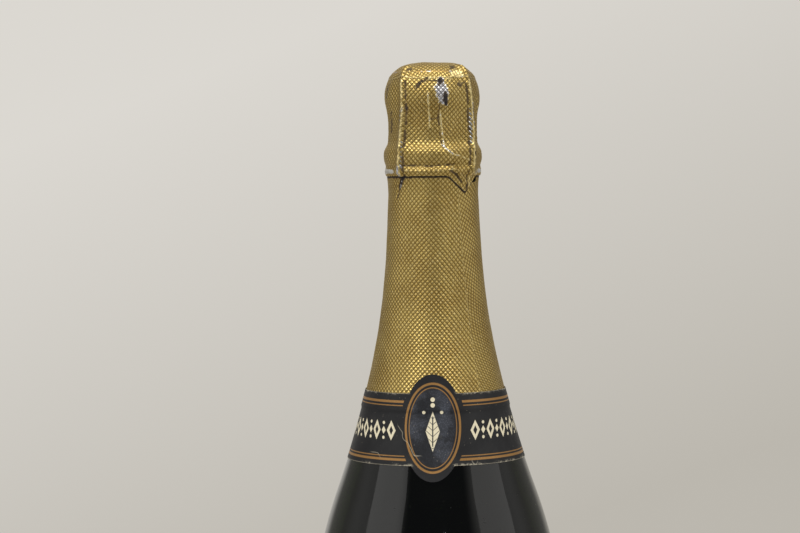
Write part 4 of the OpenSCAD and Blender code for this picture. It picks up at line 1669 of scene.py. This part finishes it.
class BOTTLE_OT_cork(bpy.types.Operator):
    """Pressed cork with its mushroom head, and two natural discs"""

    bl_idname = "bottle.cork"
    bl_label = "Cork"

    def execute(self, context):
        def roughen(bm, amount):
            for v in bm.verts:
                around = Vector((v.co.x, v.co.y, 0))
                if around.length > 1:
                    v.co += around.normalized() * amount * (noise.noise(v.co * 0.6) - 0.6)
            return bm

        body = rounded_line(
            (
                (0, 287.05), (4, 287.05), (8.3, 287.05), (8.9, 287.5), (8.93, 290), (8.93, 295), (8.93, 299),
                (9.3, 300.6), (11.2, 301.6), (13.0, 302.8), (14.1, 304.6), (14.5, 307), (14.55, 310),
                (14.4, 313), (13.7, 314.3), (12.35, 315.0), (11.9, 315.9), (10.8, 316.1), (6, 316.1), (0, 316.1),
            ),
            0.6,
        )
        place(
            roughen(turned(body, 96), 0.06), "cork_mushroom", "cork", "agglomerate_cork",
            agglomerate_finish(), replaces=["cork_body"],
        )
        for node, low in (("cork_disc_lower", 276), ("cork_disc_upper", 281.5)):
            soft = 0.7 if node == "cork_disc_lower" else 0.15
            disc = rounded_line(
                (
                    (0, low + 0.02), (5, low + 0.02), (8.9 - soft, low + 0.02), (8.9 - soft * 0.3, low + soft * 0.35),
                    (8.92, low + soft + 0.1), (8.93, low + 2.8), (8.92, low + 5.3), (8.8, low + 5.47),
                    (5, low + 5.48), (0, low + 5.48),
                ),
                0.6,
            )
            place(
                roughen(turned(disc, 96), 0.04), node + "_grain", "cork", "natural_cork",
                natural_cork_finish(), replaces=[node], sharp=50,
            )
        return {"FINISHED"}


class BOTTLE_OT_plaque(bpy.types.Operator):
    """Domed tin plaque with its rolled rim, and the wire circle on it"""

    bl_idname = "bottle.plaque"
    bl_label = "Plaque and wire circle"

    def execute(self, context):
        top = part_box("cage_cap")[1].z / MM
        seat = 316.25
        deck = seat + 0.4
        profile = rounded_line(
            (
                (0, top - 0.42), (4, top - 0.44), (7.2, top - 0.55), (8.4, seat + 0.02), (10.6, seat + 0.02),
                (12.3, seat + 0.02), (12.82, seat - 0.2), (12.9, seat - 1.0), (12.98, 315.22), (13.2, 315.2),
                (13.3, 315.4), (13.28, 316.2), (13.05, deck - 0.06), (12.5, deck), (11.95, deck + 0.0),
                (11.6, deck - 0.1), (11.2, deck), (9.4, deck), (8.75, deck + 0.05), (8.0, top - 0.25),
                (7.0, top - 0.04), (4.2, top), (3.9, top - 0.12), (3.6, top), (0, top),
            ),
            0.25,
        )
        place(
            turned(profile, 128), "plaque", "cage", "plaque_tin", plaque_finish(),
            replaces=["cage_cap"], sharp=60,
        )
        wire = context.scene.bottle_cage.wire / MM
        circle = [on_ring(CROWN_R, 3.75 * i, CROWN_Z) for i in range(96)]
        place(
            swept([circle], 0.9, closed=True), "wire_circle", "cage", "cage_wire",
            wire_finish(), replaces=["cage_ring"],
        )
        return {"FINISHED"}


def twisted(line, way, wire, pitch, start=0.0):
    """Two wires twisted round a side line that stands at an angle."""
    run, strands = 0.0, ([], [])
    side = on_ring(1, way + 90, 0)
    for i, p in enumerate(line):
        before, after = line[max(i - 1, 0)], line[min(i + 1, len(line) - 1)]
        along = (after - before).normalized()
        normal = on_ring(-along.y, way, along.x)
        if i:
            run += (p - line[i - 1]).length
        turn = start + 2 * math.pi * run / pitch
        for strand, flip in zip(strands, (1, -1)):
            offset = normal * math.cos(turn) + side * math.sin(turn)
            strand.append(on_ring(p.x, way, p.y) + offset * (flip * wire / 2))
    return strands


class BOTTLE_OT_cage_legs(bpy.types.Operator):
    """Four legs of twisted wire"""

    bl_idname = "bottle.cage_legs"
    bl_label = "Cage legs"

    def execute(self, context):
        set_up = context.scene.bottle_cage
        wire, pitch = set_up.wire / MM, set_up.pitch / MM
        line = rounded_line([(p.x, p.y) for p in LEG_LINE[::4]] + [tuple(LEG_LINE[-1])], 0.28)
        for number, way in LEGS.items():
            legs = swept(twisted(line, way, wire, pitch, number), wire, sides=1)
            place(
                legs, f"twisted_leg_{number}", f"leg_{number}", "cage_wire",
                wire_finish(), replaces=[f"cage_leg_{number}"],
            )
        return {"FINISHED"}


class BOTTLE_OT_belt(bpy.types.Operator):
    """Belt wire under the neck's ring, in four arcs that stay joined"""

    bl_idname = "bottle.belt"
    bl_label = "Belt wire"

    def execute(self, context):
        belt = context.scene.bottle_cage.belt / MM
        for number, way in LEGS.items():
            low = way - (40 if number == 2 else 45)
            high = way + (40 if number == 1 else 45)
            arc = [on_ring(BELT_R, low + (high - low) * i / 30, BELT_Z) for i in range(31)]
            piece = place(
                swept([arc], belt), f"belt_wire_{number}", None, "cage_wire",
                wire_finish(), replaces=[f"belt_arc_{number}"],
            )
            if number == 1:
                start, end = on_ring(BELT_R, way - 8, BELT_Z), on_ring(BELT_R, way - 44, BELT_Z)
            else:
                start = on_ring(BELT_R, way, BELT_Z)
                end = on_ring(BELT_R * math.cos(math.radians(44)), way, BELT_Z)
            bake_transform(piece)
        return {"FINISHED"}


class BOTTLE_OT_wire_loop(bpy.types.Operator):
    """Twisted stem and the loop that closes the cage"""

    bl_idname = "bottle.wire_loop"
    bl_label = "Wire loop"

    def execute(self, context):
        set_up = context.scene.bottle_cage
        wire, pitch = set_up.wire / MM, set_up.pitch / MM
        stem = rounded_line(
            ((15.5, BELT_Z), (16.1, BELT_Z), (16.45, 284.15), (LEG_R, 284.9), (LEG_R, 286.5), (LEG_R, 288.2)), 0.25
        )
        place(
            swept(twisted(stem, LOOP_WAY, wire, pitch * 0.75, 1.0), wire, sides=1),
            "twisted_stem", "loop_root", "cage_wire", wire_finish(), replaces=["loop_root"],
        )
        side, out = on_ring(1, LOOP_WAY + 90, 0), on_ring(LEG_R, LOOP_WAY, 0)
        half, low, high = 2.75, 291.5, 296.7
        path = [(half * math.cos(t), high + half * math.sin(t)) for t in (math.pi * i / 14 for i in range(15))]
        path += [(-half, 294.1), (-half * 0.98, 291.6), (-half * 0.75, 290.1), (-0.42, 288.85)]
        path += [(0.42, 288.85), (half * 0.75, 290.1), (half * 0.98, 291.6), (half, 294.1)]
        loop = [out + side * a + Vector((0, 0, z)) for a, z in path]
        place(
            swept([loop], 0.9, closed=True), "pull_loop", "loop", "cage_wire",
            wire_finish(), replaces=["twist_loop"],
        )
        return {"FINISHED"}


class BOTTLE_PT_panel(bpy.types.Panel):
    """Buttons for every piece of the bottle"""

    bl_idname = "BOTTLE_PT_panel"
    bl_label = "Sparkling wine bottle"
    bl_space_type = "VIEW_3D"
    bl_region_type = "UI"
    bl_category = "Bottle"

    def draw(self, context):
        for key, kind in SETTINGS.items():
            box = self.layout.box()
            for name in kind.__annotations__:
                box.prop(getattr(context.scene, key), name)
        for operator in OPERATORS:
            self.layout.operator(operator.bl_idname)


OPERATORS = (
    BOTTLE_OT_stage,
    BOTTLE_OT_glass,
    BOTTLE_OT_wine,
    BOTTLE_OT_foil_skirt,
    BOTTLE_OT_foil_hood,
    BOTTLE_OT_neck_label,
    BOTTLE_OT_body_labels,
    BOTTLE_OT_cork,
    BOTTLE_OT_plaque,
    BOTTLE_OT_cage_legs,
    BOTTLE_OT_belt,
    BOTTLE_OT_wire_loop,
)


def register():
    for kind in (*SETTINGS.values(), *OPERATORS, BOTTLE_PT_panel):
        bpy.utils.register_class(kind)
    for key, kind in SETTINGS.items():
        setattr(bpy.types.Scene, key, bpy.props.PointerProperty(type=kind))


def unregister():
    for key in SETTINGS:
        delattr(bpy.types.Scene, key)
    for kind in reversed((*SETTINGS.values(), *OPERATORS, BOTTLE_PT_panel)):
        bpy.utils.unregister_class(kind)


def main():
    register()
    for operator in OPERATORS:
        family, name = operator.bl_idname.split(".")
        getattr(getattr(bpy.ops, family), name)()
    boxes = {
        name: [list(corner) for corner in box]
        for name, box in (("cad", CAD_BOX), ("visual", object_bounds()))
    }


if __name__ == "__main__":
    main()
